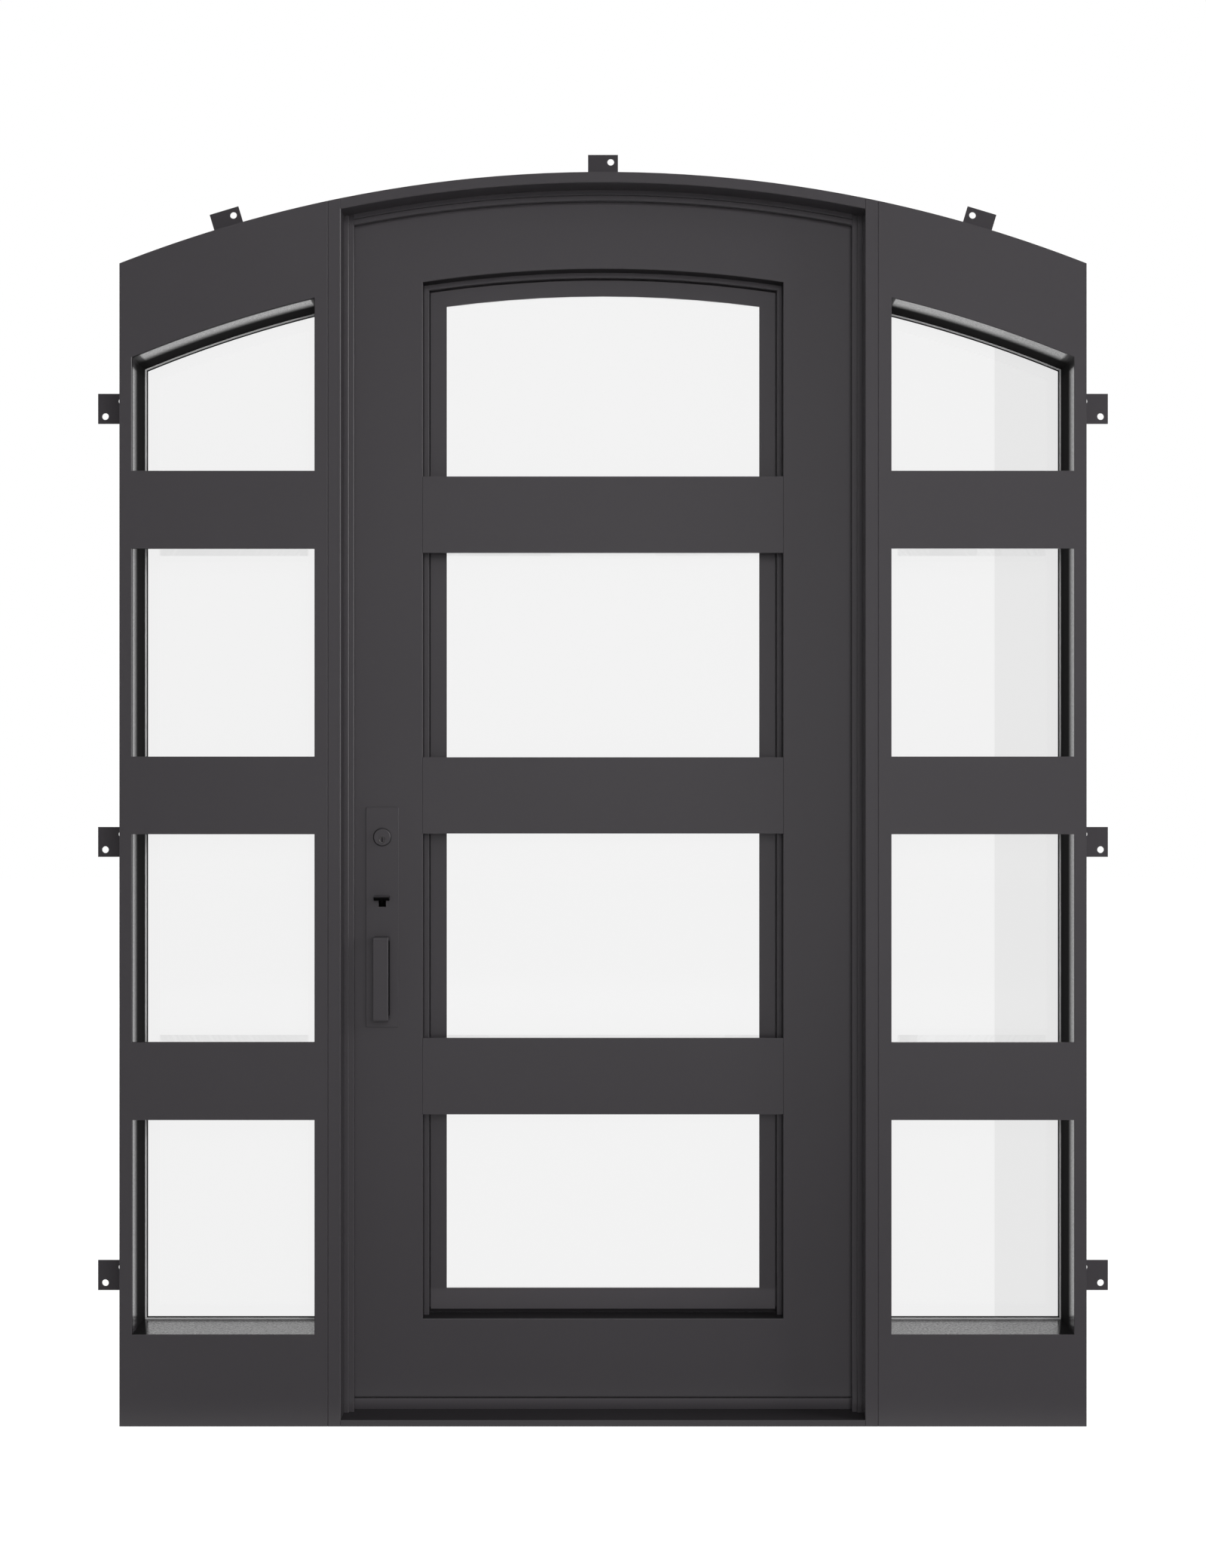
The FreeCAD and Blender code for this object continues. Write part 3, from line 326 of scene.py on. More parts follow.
def joined(parts):
    """Several (vertices, faces) as one."""
    vertices, faces, start = [], [], 0
    for part_vertices, part_faces in parts:
        vertices.append(part_vertices)
        faces.extend([[int(corner) + start for corner in face] for face in part_faces])
        start += len(part_vertices)
    return np.vstack(vertices), faces


def half_round(width, stand, base=0.0, steps=9):
    """Profile of a bead: half an ellipse width wide, standing out forwards from its base."""
    angle = np.linspace(0, np.pi, steps)
    return np.column_stack([width / 2 - width / 2 * np.cos(angle), base - stand * np.sin(angle)])


def turned(profile, centre, out, turns=48):
    """A surface of revolution: radius and stand-out pairs spun about an axis along Y.

    Vertex (i, j) is centre + radius i * (cos a, 0, sin a) + out * stand i along Y, where
    a = 2 pi j / turns.
    """
    profile = np.asarray(profile, float)
    angle = np.arange(turns) * 2 * np.pi / turns
    radius, stand = profile[:, :1], profile[:, 1:]
    flat = np.broadcast_to(stand, (len(profile), turns))
    vertices = np.stack([radius * np.cos(angle), out * flat, radius * np.sin(angle)], axis=-1)
    faces = grid_faces(len(profile), turns, wrap_columns=True)
    return vertices.reshape(-1, 3) + np.asarray(centre), faces.tolist()


def screw_heads(centres, out, radius, dome, turn=0.4):
    """Round screw heads with a cross recess, one at each centre, on an axis along Y.

    Height is dome * (1 - (r / R)^2), less a cross of two slots that fades out at 0.55 R.
    """
    rings = np.array([0, 0.14, 0.22, 0.34, 0.46, 0.56, 0.68, 0.84, 0.95, 1.0])[:, None]
    angle = np.arange(32) * 2 * np.pi / 32
    across, up = rings * np.cos(angle), rings * np.sin(angle)
    arm = np.minimum(np.abs(across * np.cos(turn) + up * np.sin(turn)),
                     np.abs(up * np.cos(turn) - across * np.sin(turn)))
    slot = np.clip(1.6 - arm / 0.11, 0, 1) * np.clip((0.6 - rings) / 0.12, 0, 1)
    height = dome * (1 - rings ** 2) - 0.8 * dome * slot
    head = np.stack([radius * across, out * height, radius * up], axis=-1)
    foot = head[-1:] - np.array([0, out * 0.3 * dome, 0])
    under = np.broadcast_to(foot.mean(axis=(0, 1)), foot.shape)
    shape = np.concatenate([head, foot, under]).reshape(-1, 3)
    faces = grid_faces(len(rings) + 2, 32, wrap_columns=True)
    parts = [(shape + np.asarray(centre), faces) for centre in centres]
    return joined(parts)


# Finishes
def paint(name, own, colour, coat, matting):
    """Powder-coated steel under a clear coat, which may differ from place to place.

    The function coat gives the weight of the clear coat and the shade of the paint. In many
    places that shade is painted light or painted shade. Where the coat is thinner than on a
    plain face, matting roughens the paint below it.
    """
    work = finish(name)
    cloud = work.grain(2.6, 3.0)
    fleck = work.grain(900.0, 2.0)
    peel = work.grain(260.0, 2.0)
    weight, shade = coat(work)
    shade = shade * (1.0 + 0.10 * (cloud - 0.5) + 0.05 * (fleck - 0.5))
    roughness = own.roughness + 0.08 * (cloud - 0.5) + 0.06 * (fleck - 0.5)
    if matting:
        roughness = roughness + matting * (COAT - weight).larger(0)
    return work.surface(
        base_color=work.blend(shade * 0.5, (0, 0, 0), [2 * part for part in colour]),
        roughness=roughness,
        specular_ior_level=0.08,
        coat_weight=weight,
        coat_roughness=0.2,
        normal=work.bump(peel, own.peel),
    )


def paint_nodes(own, colour, rows):
    """Give groups of CAD nodes the paint, each row with its own name, coat, matting and nodes."""
    for name, coat, matting, nodes in rows:
        dress(paint(name, own, tuple(colour), coat, matting), *nodes)


def arc_radius(across, height):
    """Distance from the arch centre, in elevation."""
    rise = height - ARCH_CENTRE
    square = across * across + rise * rise
    return square.math("SQRT", square)


def reveal_coat_and_shade(work):
    """In the sidelight reveals glossy at the front, then matt and dark, with a crease half way in.

    The dark deeper in and along the crease is painted shade. Under the arch the gloss is
    stronger and goes deeper. The left reveal has a dull line of painted shade along its front
    edge, and the top corners are dull and darkened by painted shade.
    """
    across, depth, height = work.across_depth_height()
    aside, radius = abs(across), arc_radius(across, height)
    glass_far, glass_near = -OUTER_STILE[1].x, -INNER_STILE[0].x
    reveal = (depth.behind(FRONT) * depth.before(BACK)
              * aside.falling(glass_far + 1 * MM, glass_far + 2 * MM)
              * radius.falling(SIDE_ARCH + 2 * MM, SIDE_ARCH + 4 * MM))
    left = across.falling(-1 * MM, 1 * MM)
    line = depth.falling(FRONT + 4 * MM, FRONT + 14 * MM) * left
    under = radius.rising(SIDE_ARCH - 6 * MM, SIDE_ARCH - 2 * MM)
    rear = (depth - 18 * MM * under).rising(FRONT + 12 * MM, FRONT + 60 * MM)
    crease = abs(depth).falling(0.5 * MM, 1.6 * MM)
    outer = aside.rising(glass_far - 17 * MM, glass_far - 11 * MM)
    inner = aside.falling(glass_near + 7 * MM, glass_near + 10 * MM)
    corner = outer.larger(inner) * height.rising(SIDE_TOP[0].z - 22 * MM, SIDE_TOP[0].z - 14 * MM)
    speckle = 1 + 1.7 * (work.grain(420.0, 4.0) - 0.5)
    weight = (1 + 0.35 * under) * (1 - rear) * (1 - line) * (1 - 0.8 * corner) * speckle
    # Painted shade: darker deeper in, along the crease, along the left front edge and in the
    # corners
    shade = (1 - 0.86 * rear) * (1 - 0.6 * crease) * (1 - 0.6 * line) * (1 - 0.5 * corner)
    return COAT + reveal * (weight - COAT), 1 + reveal * (shade - 1)


def jamb_coat_light_and_shade(work):
    """On the left matt on the reveal, on the right glossier there than on the front. The reveal's
    paint is darkened on the left by painted shade and lightened on the right by painted light.
    """
    across, depth, _ = work.across_depth_height()
    inside = depth.behind(FRONT) * depth.before(BACK)
    left = across.falling(-1 * MM, 1 * MM)
    weight = COAT - 0.15 + 0.15 * left + (0.25 - left) * inside
    # Painted shade on the left reveal, painted light on the right reveal
    return weight, 1 + (0.2 - 0.45 * left) * inside


def head_coat(work):
    """Less glossy on the inside of the head."""
    _, depth, _ = work.across_depth_height()
    return COAT - 0.6 * depth.behind(FRONT) * depth.before(BACK), 1.0


def sill_plate_coat_and_shade(work):
    """Matt on top of the sill plate, whose paint is darkened there by painted shade; the front is
    a little darker too.
    """
    _, depth, _ = work.across_depth_height()
    inside = depth.behind(FRONT) * depth.before(BACK)
    # Painted shade darkens the top
    return 0.6 - 0.6 * inside, 0.9 - 0.24 * inside


def threshold_coat_and_light(work):
    """Painted light: brighter and glossier towards the top edge."""
    _, _, height = work.across_depth_height()
    painted_top_light = 0.86 + 0.5 * height.rising(THRESHOLD[0].z, THRESHOLD[1].z)
    return COAT * painted_top_light, painted_top_light


def matt_coat(work):
    """The same everywhere, with little gloss."""
    return 0.1, 1.0


def inner_bar_coat_and_shade(work):
    """On the faces towards the glass darker, by painted shade, and matt; on the inner face like
    the frame.
    """
    across, depth, _ = work.across_depth_height()
    side = abs(across).rising(INNER_BARS[1].x + 20 * MM, INNER_BARS[1].x + 30 * MM)
    face = INNER_BARS[1].y + side * (SIDE_BARS[1].y - INNER_BARS[1].y)
    inner = (depth - face).rising(-1.4 * MM, -0.8 * MM)
    # Painted shade on all but the inner face
    return 0.1 + (COAT - 0.1) * inner, 0.25 + 0.75 * inner


def bead_coat(work):
    """Matt but on the inner face."""
    _, depth, _ = work.across_depth_height()
    return COAT - (COAT - 0.1) * depth.before(BACK, start=0.8 * MM), 1.0


def stop_coat(work):
    """Painted shade: darker and less glossy up against the head."""
    across, _, height = work.across_depth_height()
    high = arc_radius(across, height).rising(HEAD_ARCH - 24 * MM, HEAD_ARCH - 4 * MM)
    # Painted shade under the head
    return COAT - 0.45 * high, 1 - 0.25 * high


def leaf_coat_and_shade(work):
    """Painted shade: dark on the walls round the opening light and in the latch recess, else the
    same all over.
    """
    across, depth, height = work.across_depth_height()
    inside = depth.behind(LOCK_STILE[0].y) * depth.before(LOCK_STILE[1].y)
    wall = inside * abs(across).falling(LIGHT_STOP[1].x + 1 * MM, LIGHT_STOP[1].x + 2 * MM)
    beside = abs(across - (LOCK_PLATE[0].x + LOCK_PLATE[1].x) / 2)
    recess = inside * (beside.falling(14 * MM, 16 * MM)
                       * abs(height - THUMB_LATCH[0].z).falling(24 * MM, 26 * MM))
    # Painted shade on the walls round the opening light and in the latch recess
    return COAT * (1 - wall.larger(recess)), (1 - 0.65 * wall) * (1 - 0.95 * recess)


def sill_coat_and_reflection(work):
    """Glossy and speckled on top as far as the glass, plain in front, dark by the outer reveal.

    The dark corner is a painted reflection of the dark reveal in the glossy top. It is wider at
    the front by spread.
    """
    across, depth, _ = work.across_depth_height()
    inside = depth.behind(FRONT, start=0.2 * MM, fade=0.8 * MM) * depth.before(BACK)
    glass = SIDE_GLASS[0].y
    spread = 29 * MM * (glass - depth) * (1 / (glass - FRONT))
    # Painted reflection: a dark corner on the top by the outer reveal
    corner = (abs(across) + spread + OUTER_STILE[1].x).rising(-2 * MM, 2 * MM)
    speckle = 1 + inside * (1.6 * (work.grain(230.0, 3.0) - 0.5) - 0.1)
    weight = COAT + 0.1 * inside - 0.9 * corner * inside
    return weight * speckle, (1 - 0.85 * corner * inside) * speckle


def even_coat(work):
    """The same everywhere."""
    return COAT, 1.0


def light_stop_coat_and_shade(work):
    """Painted shade: dark along the bottom leg, between the two uprights."""
    across, _, height = work.across_depth_height()
    leg = 10 * MM
    low = (height.falling(LIGHT_STOP[0].z + leg + 1 * MM, LIGHT_STOP[0].z + leg + 2 * MM)
           * abs(across).falling(LIGHT_STOP[1].x - leg - 1 * MM, LIGHT_STOP[1].x - leg))
    return COAT * (1 - low), 1 - 0.45 * low


def light_frame_coat_light_and_shade(work):
    """Painted light: brighter along the foot. Painted shade: dark where the foot laps behind its
    stop.
    """
    _, depth, height = work.across_depth_height()
    lapped_shade = (depth.behind(LIGHT_FRAME[0].y, start=4 * MM, fade=2 * MM)
              * depth.before(LIGHT_FRAME[1].y, fade=2 * MM)
              * height.falling(LIGHT_FRAME[0].z + 9 * MM, LIGHT_FRAME[0].z + 11 * MM))
    foot = 1 + 0.3 * height.falling(LIGHT_FRAME[0].z + 44 * MM, LIGHT_FRAME[0].z + 52 * MM)
    return foot * COAT * (1 - lapped_shade), foot * (1 - 0.75 * lapped_shade)


def plate_coat(work):
    """Painted shade on the plate's edges, and a painted shadow behind the handle of the pull."""
    across, depth, height = work.across_depth_height()
    edge = depth.behind(LOCK_PLATE[0].y, start=0.4 * MM, fade=0.8 * MM)
    middle = (PULL[0].x + PULL[1].x) / 2
    grip_shadow = (across.rising(middle - 10 * MM, middle - 6 * MM)
            * across.falling(PULL[1].x - 0.8 * MM, PULL[1].x)
            * height.rising(PULL[0].z + 7 * MM, PULL[0].z + 10 * MM)
            * height.falling(PULL[1].z - 10 * MM, PULL[1].z - 7 * MM))
    # Painted shade on the edges and a painted shadow behind the handle
    return COAT * (1 - grip_shadow), (1 - 0.7 * edge) * (1 - 0.9 * grip_shadow)


def thumb_coat_and_shade(work):
    """Painted shade: fading to black from the top edge of the thumb piece down."""
    _, _, height = work.across_depth_height()
    lit = height.rising(THUMB_LATCH[1].z - 4 * MM, THUMB_LATCH[1].z + 2 * MM)
    return 0.3 * lit, 0.04 + 0.96 * lit


def cylinder_coat_and_shade(work):
    """Painted shade: black in the keyway and on the side of the cylinder."""
    _, depth, _ = work.across_depth_height()
    deep = depth.behind(CYLINDER[0].y, start=1.3 * MM, fade=0.5 * MM)
    return COAT * (1 - deep), 1 - 0.9 * deep


class DOORWAY_PG_paint(bpy.types.PropertyGroup):
    """Colours and gloss of the painted steel."""
    frame_colour: bpy.props.FloatVectorProperty(
        name="Frame colour", description="Charcoal paint of the frame", subtype="COLOR",
        default=CHARCOAL, min=0, max=1)
    leaf_colour: bpy.props.FloatVectorProperty(
        name="Leaf colour", description="Charcoal paint of the door leaf and its lock set",
        subtype="COLOR", default=CHARCOAL, min=0, max=1)
    roughness: bpy.props.FloatProperty(
        name="Roughness", description="Roughness under the clear coat", default=0.5, min=0, max=1)
    peel: bpy.props.FloatProperty(
        name="Texture depth", description="Depth of the powder coat's orange peel", unit="LENGTH",
        default=0.00003, min=0)


class DOORWAY_PG_glass(bpy.types.PropertyGroup):
    """The pale milky glass, which shines with painted light."""
    colour: bpy.props.FloatVectorProperty(
        name="Glass colour", description="Colour of the milky layer", subtype="COLOR",
        default=(0.03, 0.03, 0.03), min=0, max=1)
    # Painted light: the strength at which the milky layer shines as if lit from behind
    painted_backlight: bpy.props.FloatProperty(
        name="Scattered light", default=0.845, min=0, max=2,
        description="Light that the milky layer carries through from behind")
    step: bpy.props.FloatProperty(
        # Painted reflection: past this the right sidelight's glass shines a shade darker
        name="Tone step", description="Where the glass of the right sidelight turns a shade darker",
        unit="LENGTH", default=0.7837)
    cover: bpy.props.FloatProperty(
        name="Cover", description="Share of the view behind that the glass hides",
        default=0.86, min=0, max=1)


class DOORWAY_PG_seals(bpy.types.PropertyGroup):
    """Gaskets and weather seals."""
    stop_width: bpy.props.FloatProperty(
        name="Stop width", description="Pale stop left in sight outside the sidelight gasket",
        unit="LENGTH", default=0.003, min=0)
    gasket_width: bpy.props.FloatProperty(
        name="Gasket width", description="Face of the gasket round the glass", unit="LENGTH",
        default=0.0026, min=0)
    gasket_stand: bpy.props.FloatProperty(
        name="Gasket stand", description="How far the gasket stands off the glass", unit="LENGTH",
        default=0.0012, min=0)
    bulb_width: bpy.props.FloatProperty(
        name="Bulb width", description="Width of the bulb seal behind the door stop", unit="LENGTH",
        default=0.009, min=0)


class DOORWAY_PG_studio(bpy.types.PropertyGroup):
    """Lamps, sky and camera."""
    sky: bpy.props.FloatProperty(
        name="Soft light", description="Strength of the light from all round", default=0.15, min=0)
    front: bpy.props.FloatProperty(
        name="Front lamp", description="Power of the broad lamp before the door", unit="POWER",
        default=850, min=0)
    key: bpy.props.FloatProperty(
        name="Key lamp", description="Power of the large lamp at the right", unit="POWER",
        default=520, min=0)
    rear: bpy.props.FloatProperty(
        name="Rear lamp", description="Power of the lamp behind the door", unit="POWER",
        default=700, min=0)
    lens: bpy.props.FloatProperty(
        name="Lens", description="Focal length on a 24 mm high sensor", unit="CAMERA",
        default=36.26, min=1)
    eye: bpy.props.FloatVectorProperty(
        name="Eye", description="Where the camera stands", subtype="TRANSLATION",
        default=(0.0, -4.6802, 1.2267))


def settings(name):
    return getattr(bpy.context.scene, name)


class DOORWAY_OT_frame_finish(bpy.types.Operator):
    """Paint the frame, its sills and its wall straps"""
    bl_idname = "doorway.frame_finish"
    bl_label = "Frame finish"

    def execute(self, context):
        own = settings("doorway_paint")
        jambs, stiles, stops, reveals, sills, bars, beads, straps = (
            [f"{side}_{part}" for side in ("left", "right") for part in parts] for parts in (
                ["jamb"], ["outer_stile", "inner_stile"], ["stop"], ["top_rail", "crossbars"],
                ["bottom_rail"], ["inner_crossbars"], ["inner_bead"], ["straps"]))
        paint_nodes(own, own.frame_colour, (
            ("frame_paint", reveal_coat_and_shade, MATTING, stiles + reveals),
            ("frame_paint_plain", even_coat, 0, ["frame_hinges"]),
            ("stop_paint", stop_coat, 0, ["head_stop"] + stops),
            ("frame_paint_matt", matt_coat, 0, ["arch_straps"] + straps),
            ("inner_bar_paint", inner_bar_coat_and_shade, 0, bars),
            ("bead_paint", bead_coat, 0, beads),
            ("sill_paint", sill_coat_and_reflection, MATTING, sills),
            ("jamb_paint", jamb_coat_light_and_shade, 0, jambs),
            ("head_paint", head_coat, 0, ["head_jamb"]),
            ("sill_plate_paint", sill_plate_coat_and_shade, 0, ["sill_plate"]),
            ("threshold_paint", threshold_coat_and_light, 0, ["threshold"]),
        ))
        return {"FINISHED"}


class DOORWAY_OT_leaf_finish(bpy.types.Operator):
    """Paint the door leaf and its opening light"""
    bl_idname = "doorway.leaf_finish"
    bl_label = "Leaf finish"

    def execute(self, context):
        own = settings("doorway_paint")
        members = ["lock_stile", "hinge_stile", "leaf_top_rail", "leaf_bottom_rail"]
        paint_nodes(own, own.leaf_colour, (
            ("leaf_paint", leaf_coat_and_shade, 0, members),
            ("leaf_paint_plain", even_coat, 0, ["leaf_crossbars", "leaf_hinges"]),
            ("light_stop_paint", light_stop_coat_and_shade, 0, ["light_stop"]),
            ("light_frame_paint", light_frame_coat_light_and_shade, MATTING, ["light_frame"]),
            ("leaf_bar_paint", inner_bar_coat_and_shade, 0, ["leaf_inner_crossbars"]),
        ))
        return {"FINISHED"}


class DOORWAY_OT_glass_finish(bpy.types.Operator):
    """Milky glass, opaque near the edges of the sidelight panes, and the pale stop round them.

    The glass shines with painted light, a shade darker on part of the right sidelight as a
    painted reflection.
    """
    bl_idname = "doorway.glass_finish"
    bl_label = "Glass finish"

    def execute(self, context):
        own = settings("doorway_glass")
        work = finish("milky_glass")
        haze = work.grain(1.7, 2.0)
        across, _, height = work.across_depth_height()
        inner, outer, rim, fade = -SIDE_GLASS[1].x, -SIDE_GLASS[0].x, 26 * MM, 6 * MM
        aside = abs(across)
        edge = aside.falling(inner + rim, inner + rim + fade)
        edge = edge.larger(aside.rising(outer - rim - fade, outer - rim))
        edge = edge.larger(height.falling(SIDE_GLASS[0].z + rim, SIDE_GLASS[0].z + rim + fade))
        radius = arc_radius(across, height)
        edge = edge.larger(radius.rising(SIDE_ARCH - rim - fade, SIDE_ARCH - rim))
        edge = edge * aside.rising(inner - 10 * MM, inner - 5 * MM)
        tint = 1.0 + 0.02 * (haze - 0.5)
        colour = work.blend(tint * 0.5, (0, 0, 0), [2 * part for part in own.colour])
        glass = work.surface(
            base_color=colour,
            roughness=0.06 + 0.02 * haze,
            specular_ior_level=0.5,
            # Painted reflection: the light of the glass is a shade darker past the tone step
            emission_color=work.blend(across.rising(own.step - 1 * MM, own.step + 1 * MM),
                                      (1.0, 1.0, 1.0), (0.9, 0.9, 0.9)),
            # Painted light: the milky layer shines as if lit from behind
            emission_strength=own.painted_backlight,
            alpha=own.cover + (1 - own.cover) * edge,
        )
        dress(glass, "left_glass", "right_glass", "door_glass")
        work = finish("glazing_trim")
        brushed = work.grain(500.0, 2.0)
        _, _, height = work.across_depth_height()
        low = height.falling(SIDE_GLASS[0].z + 3 * MM, SIDE_GLASS[0].z + 4 * MM)
        trim = work.surface(
            base_color=work.blend((0.42 + 0.06 * brushed) * (1 - 0.2 * low), (0, 0, 0), (1, 1, 1)),
            roughness=0.4 + 0.1 * brushed,
        )
        dress(trim, "left_glass_stop", "right_glass_stop")
        return {"FINISHED"}


class DOORWAY_OT_lock_finish(bpy.types.Operator):
    """Paint the lock set like the leaf, with painted shade fading its thumb piece to black"""
    bl_idname = "doorway.lock_finish"
    bl_label = "Lock set finish"

    def execute(self, context):
        own = settings("doorway_paint")
        plain = ["inner_lock_plate", "pull_handle", "inner_pull", "turn_rose", "thumb_turn"]
        paint_nodes(own, own.leaf_colour, (
            ("lock_paint", even_coat, 0, plain),
            ("lock_plate_paint", plate_coat, 0, ["lock_plate"]),
            ("cylinder_paint", cylinder_coat_and_shade, 0, ["lock_cylinder"]),
            ("thumb_paint", thumb_coat_and_shade, 0, ["thumb_latch"]),
        ))
        return {"FINISHED"}


def rubber(name="seal_rubber"):
    """Matt black rubber, made once."""
    if name in bpy.data.materials:
        return bpy.data.materials[name]
    work = finish(name)
    fine = work.grain(700.0, 2.0)
    return work.surface(
        base_color=work.blend(fine, (0.012, 0.012, 0.012), (0.02, 0.02, 0.02)),
        roughness=0.6 + 0.15 * fine,
        normal=work.bump(fine, 0.00002),
    )


class DOORWAY_OT_glass_gaskets(bpy.types.Operator):
    """Black gaskets inside the stops round the sidelight panes"""
    bl_idname = "doorway.glass_gaskets"
    bl_label = "Glass gaskets"

    def execute(self, context):
        own = settings("doorway_seals")
        trim = own.stop_width
        inner, outer = -SIDE_GLASS[1].x, -SIDE_GLASS[0].x
        profile = half_round(own.gasket_width, own.gasket_stand)
        for side, word in ((-1, "left"), (1, "right")):
            left, right = sorted((side * inner, side * outer))
            path = opening_path(left + trim, right - trim, SIDE_GLASS[0].z + trim, SIDE_ARCH - trim)
            solid_piece(f"{word}_glass_gasket", *carried(path, profile, SIDE_GLASS[0].y), rubber(),
                        "frame", "frame_paint")
        return {"FINISHED"}


class DOORWAY_OT_door_seals(bpy.types.Operator):
    """Bulb seal behind the door stop and a sweep under the leaf"""
    bl_idname = "doorway.door_seals"
    bl_label = "Door seals"

    def execute(self, context):
        own = settings("doorway_seals")
        half = -JAMB[1].x
        width = own.bulb_width
        gap = LEAF_RAIL[0].y - DOOR_STOP[1].y
        inset = 3.0 * MM
        path = doorway_path(half - inset, THRESHOLD[1].z, HEAD_ARCH - inset)
        bulb = half_round(width, -(gap - 0.6 * MM))
        solid_piece("stop_seal", *carried(path, bulb, DOOR_STOP[1].y, closed=False), rubber(),
                    "frame", "frame_paint")
        drop = (LEAF_RAIL[0].z - THRESHOLD[1].z) - 1.0 * MM
        ends = np.array([-1, 1]) * (-LOCK_STILE[0].x - 6 * MM)
        angle = np.linspace(0, np.pi, 9)
        lip_half = 5 * MM
        lips = []
        for middle in (LEAF_RAIL[0].y + 5.6 * MM, LEAF_RAIL[1].y - 5.6 * MM):
            run, turn = np.meshgrid(ends, angle, indexing="ij")
            vertices = np.stack([run, middle + lip_half * np.cos(turn),
                                 LEAF_RAIL[0].z - drop * np.sin(turn)], axis=-1).reshape(-1, 3)
            faces = grid_faces(2, len(angle), wrap_columns=True).tolist()
            faces += [list(range(len(angle))), list(range(len(angle), 2 * len(angle)))]
            lips.append((vertices, faces))
        work = finish("sweep_vinyl")
        fine = work.grain(600.0, 2.0)
        vinyl = work.surface(
            base_color=work.blend(fine, (0.036, 0.034, 0.036), (0.044, 0.042, 0.044)),
            roughness=0.55 + 0.1 * fine,
        )
        solid_piece("leaf_sweep", *joined(lips), vinyl, "door_leaf", "leaf_paint")
        return {"FINISHED"}


class DOORWAY_OT_key_plug(bpy.types.Operator):
    """Bright key plug with its rim"""
    bl_idname = "doorway.key_plug"
    bl_label = "Key plug"

    def execute(self, context):
        work = finish("plug_steel")
        ringed = work.grain(900.0, 2.0, (1, 1, 0.05))
        steel = work.surface(
            base_color=work.blend(ringed, (0.30, 0.29, 0.28), (0.42, 0.41, 0.40)),
            metallic=1.0,
            roughness=0.28 + 0.1 * ringed,
        )
        plug_drop, plug_set_back = 5 * MM, 1.2 * MM
        centre = (CYLINDER[0] + CYLINDER[1]) / 2 - Vector((0, 0, plug_drop))
        face = CYLINDER[0].y + plug_set_back
        rim = [(5.1 * MM, 0), (6.3 * MM, 0), (6.3 * MM, 0.5 * MM), (6.0 * MM, 0.8 * MM),
               (5.4 * MM, 0.8 * MM), (5.1 * MM, 0.5 * MM), (5.1 * MM, 0)]
        solid_piece("key_plug_rim", *turned(rim, (centre.x, face, centre.z), -1), steel,
                    "door_leaf", "cylinder_metal")
        return {"FINISHED"}


def steel_screws():
    """Blackened screw steel, made once."""
    if "screw_steel" in bpy.data.materials:
        return bpy.data.materials["screw_steel"]
    work = finish("screw_steel")
    fine = work.grain(1500.0, 2.0)
    return work.surface(
        base_color=work.blend(fine, (0.05, 0.05, 0.05), (0.08, 0.08, 0.08)),
        metallic=0.8,
        roughness=0.35 + 0.1 * fine,
    )


class DOORWAY_OT_screws(bpy.types.Operator):
    """Screws in the glazing beads and the inner lock plate"""
    bl_idname = "doorway.screws"
    bl_label = "Screws"

    def execute(self, context):
        inset = 6 * MM
        heights = np.linspace(SIDE_GLASS[0].z + 80 * MM, SIDE_GLASS[1].z - 260 * MM, 7)
        for side, word in ((-1, "left"), (1, "right")):
            near, far = -SIDE_GLASS[1].x + inset, -SIDE_GLASS[0].x - inset
            places = [(side * across, BACK, up) for across in (near, far) for up in heights]
            places += [(side * across, BACK, SIDE_GLASS[0].z + inset)
                       for across in np.linspace(near + 60 * MM, far - 60 * MM, 3)]
            solid_piece(f"{word}_bead_screws", *screw_heads(places, 1, 3.4 * MM, 1.1 * MM),
                        steel_screws(), "frame", "frame_paint")
        centre = (INNER_PLATE[0].x + INNER_PLATE[1].x) / 2
        places = [(centre, INNER_PLATE[1].y, up) for up in (
            INNER_PLATE[0].z + 7.5 * MM, INNER_PLATE[1].z - 12 * MM)]
        solid_piece("plate_screws", *screw_heads(places, 1, 4.0 * MM, 1.3 * MM), steel_screws(),
                    "door_leaf", "lock_black")
        return {"FINISHED"}


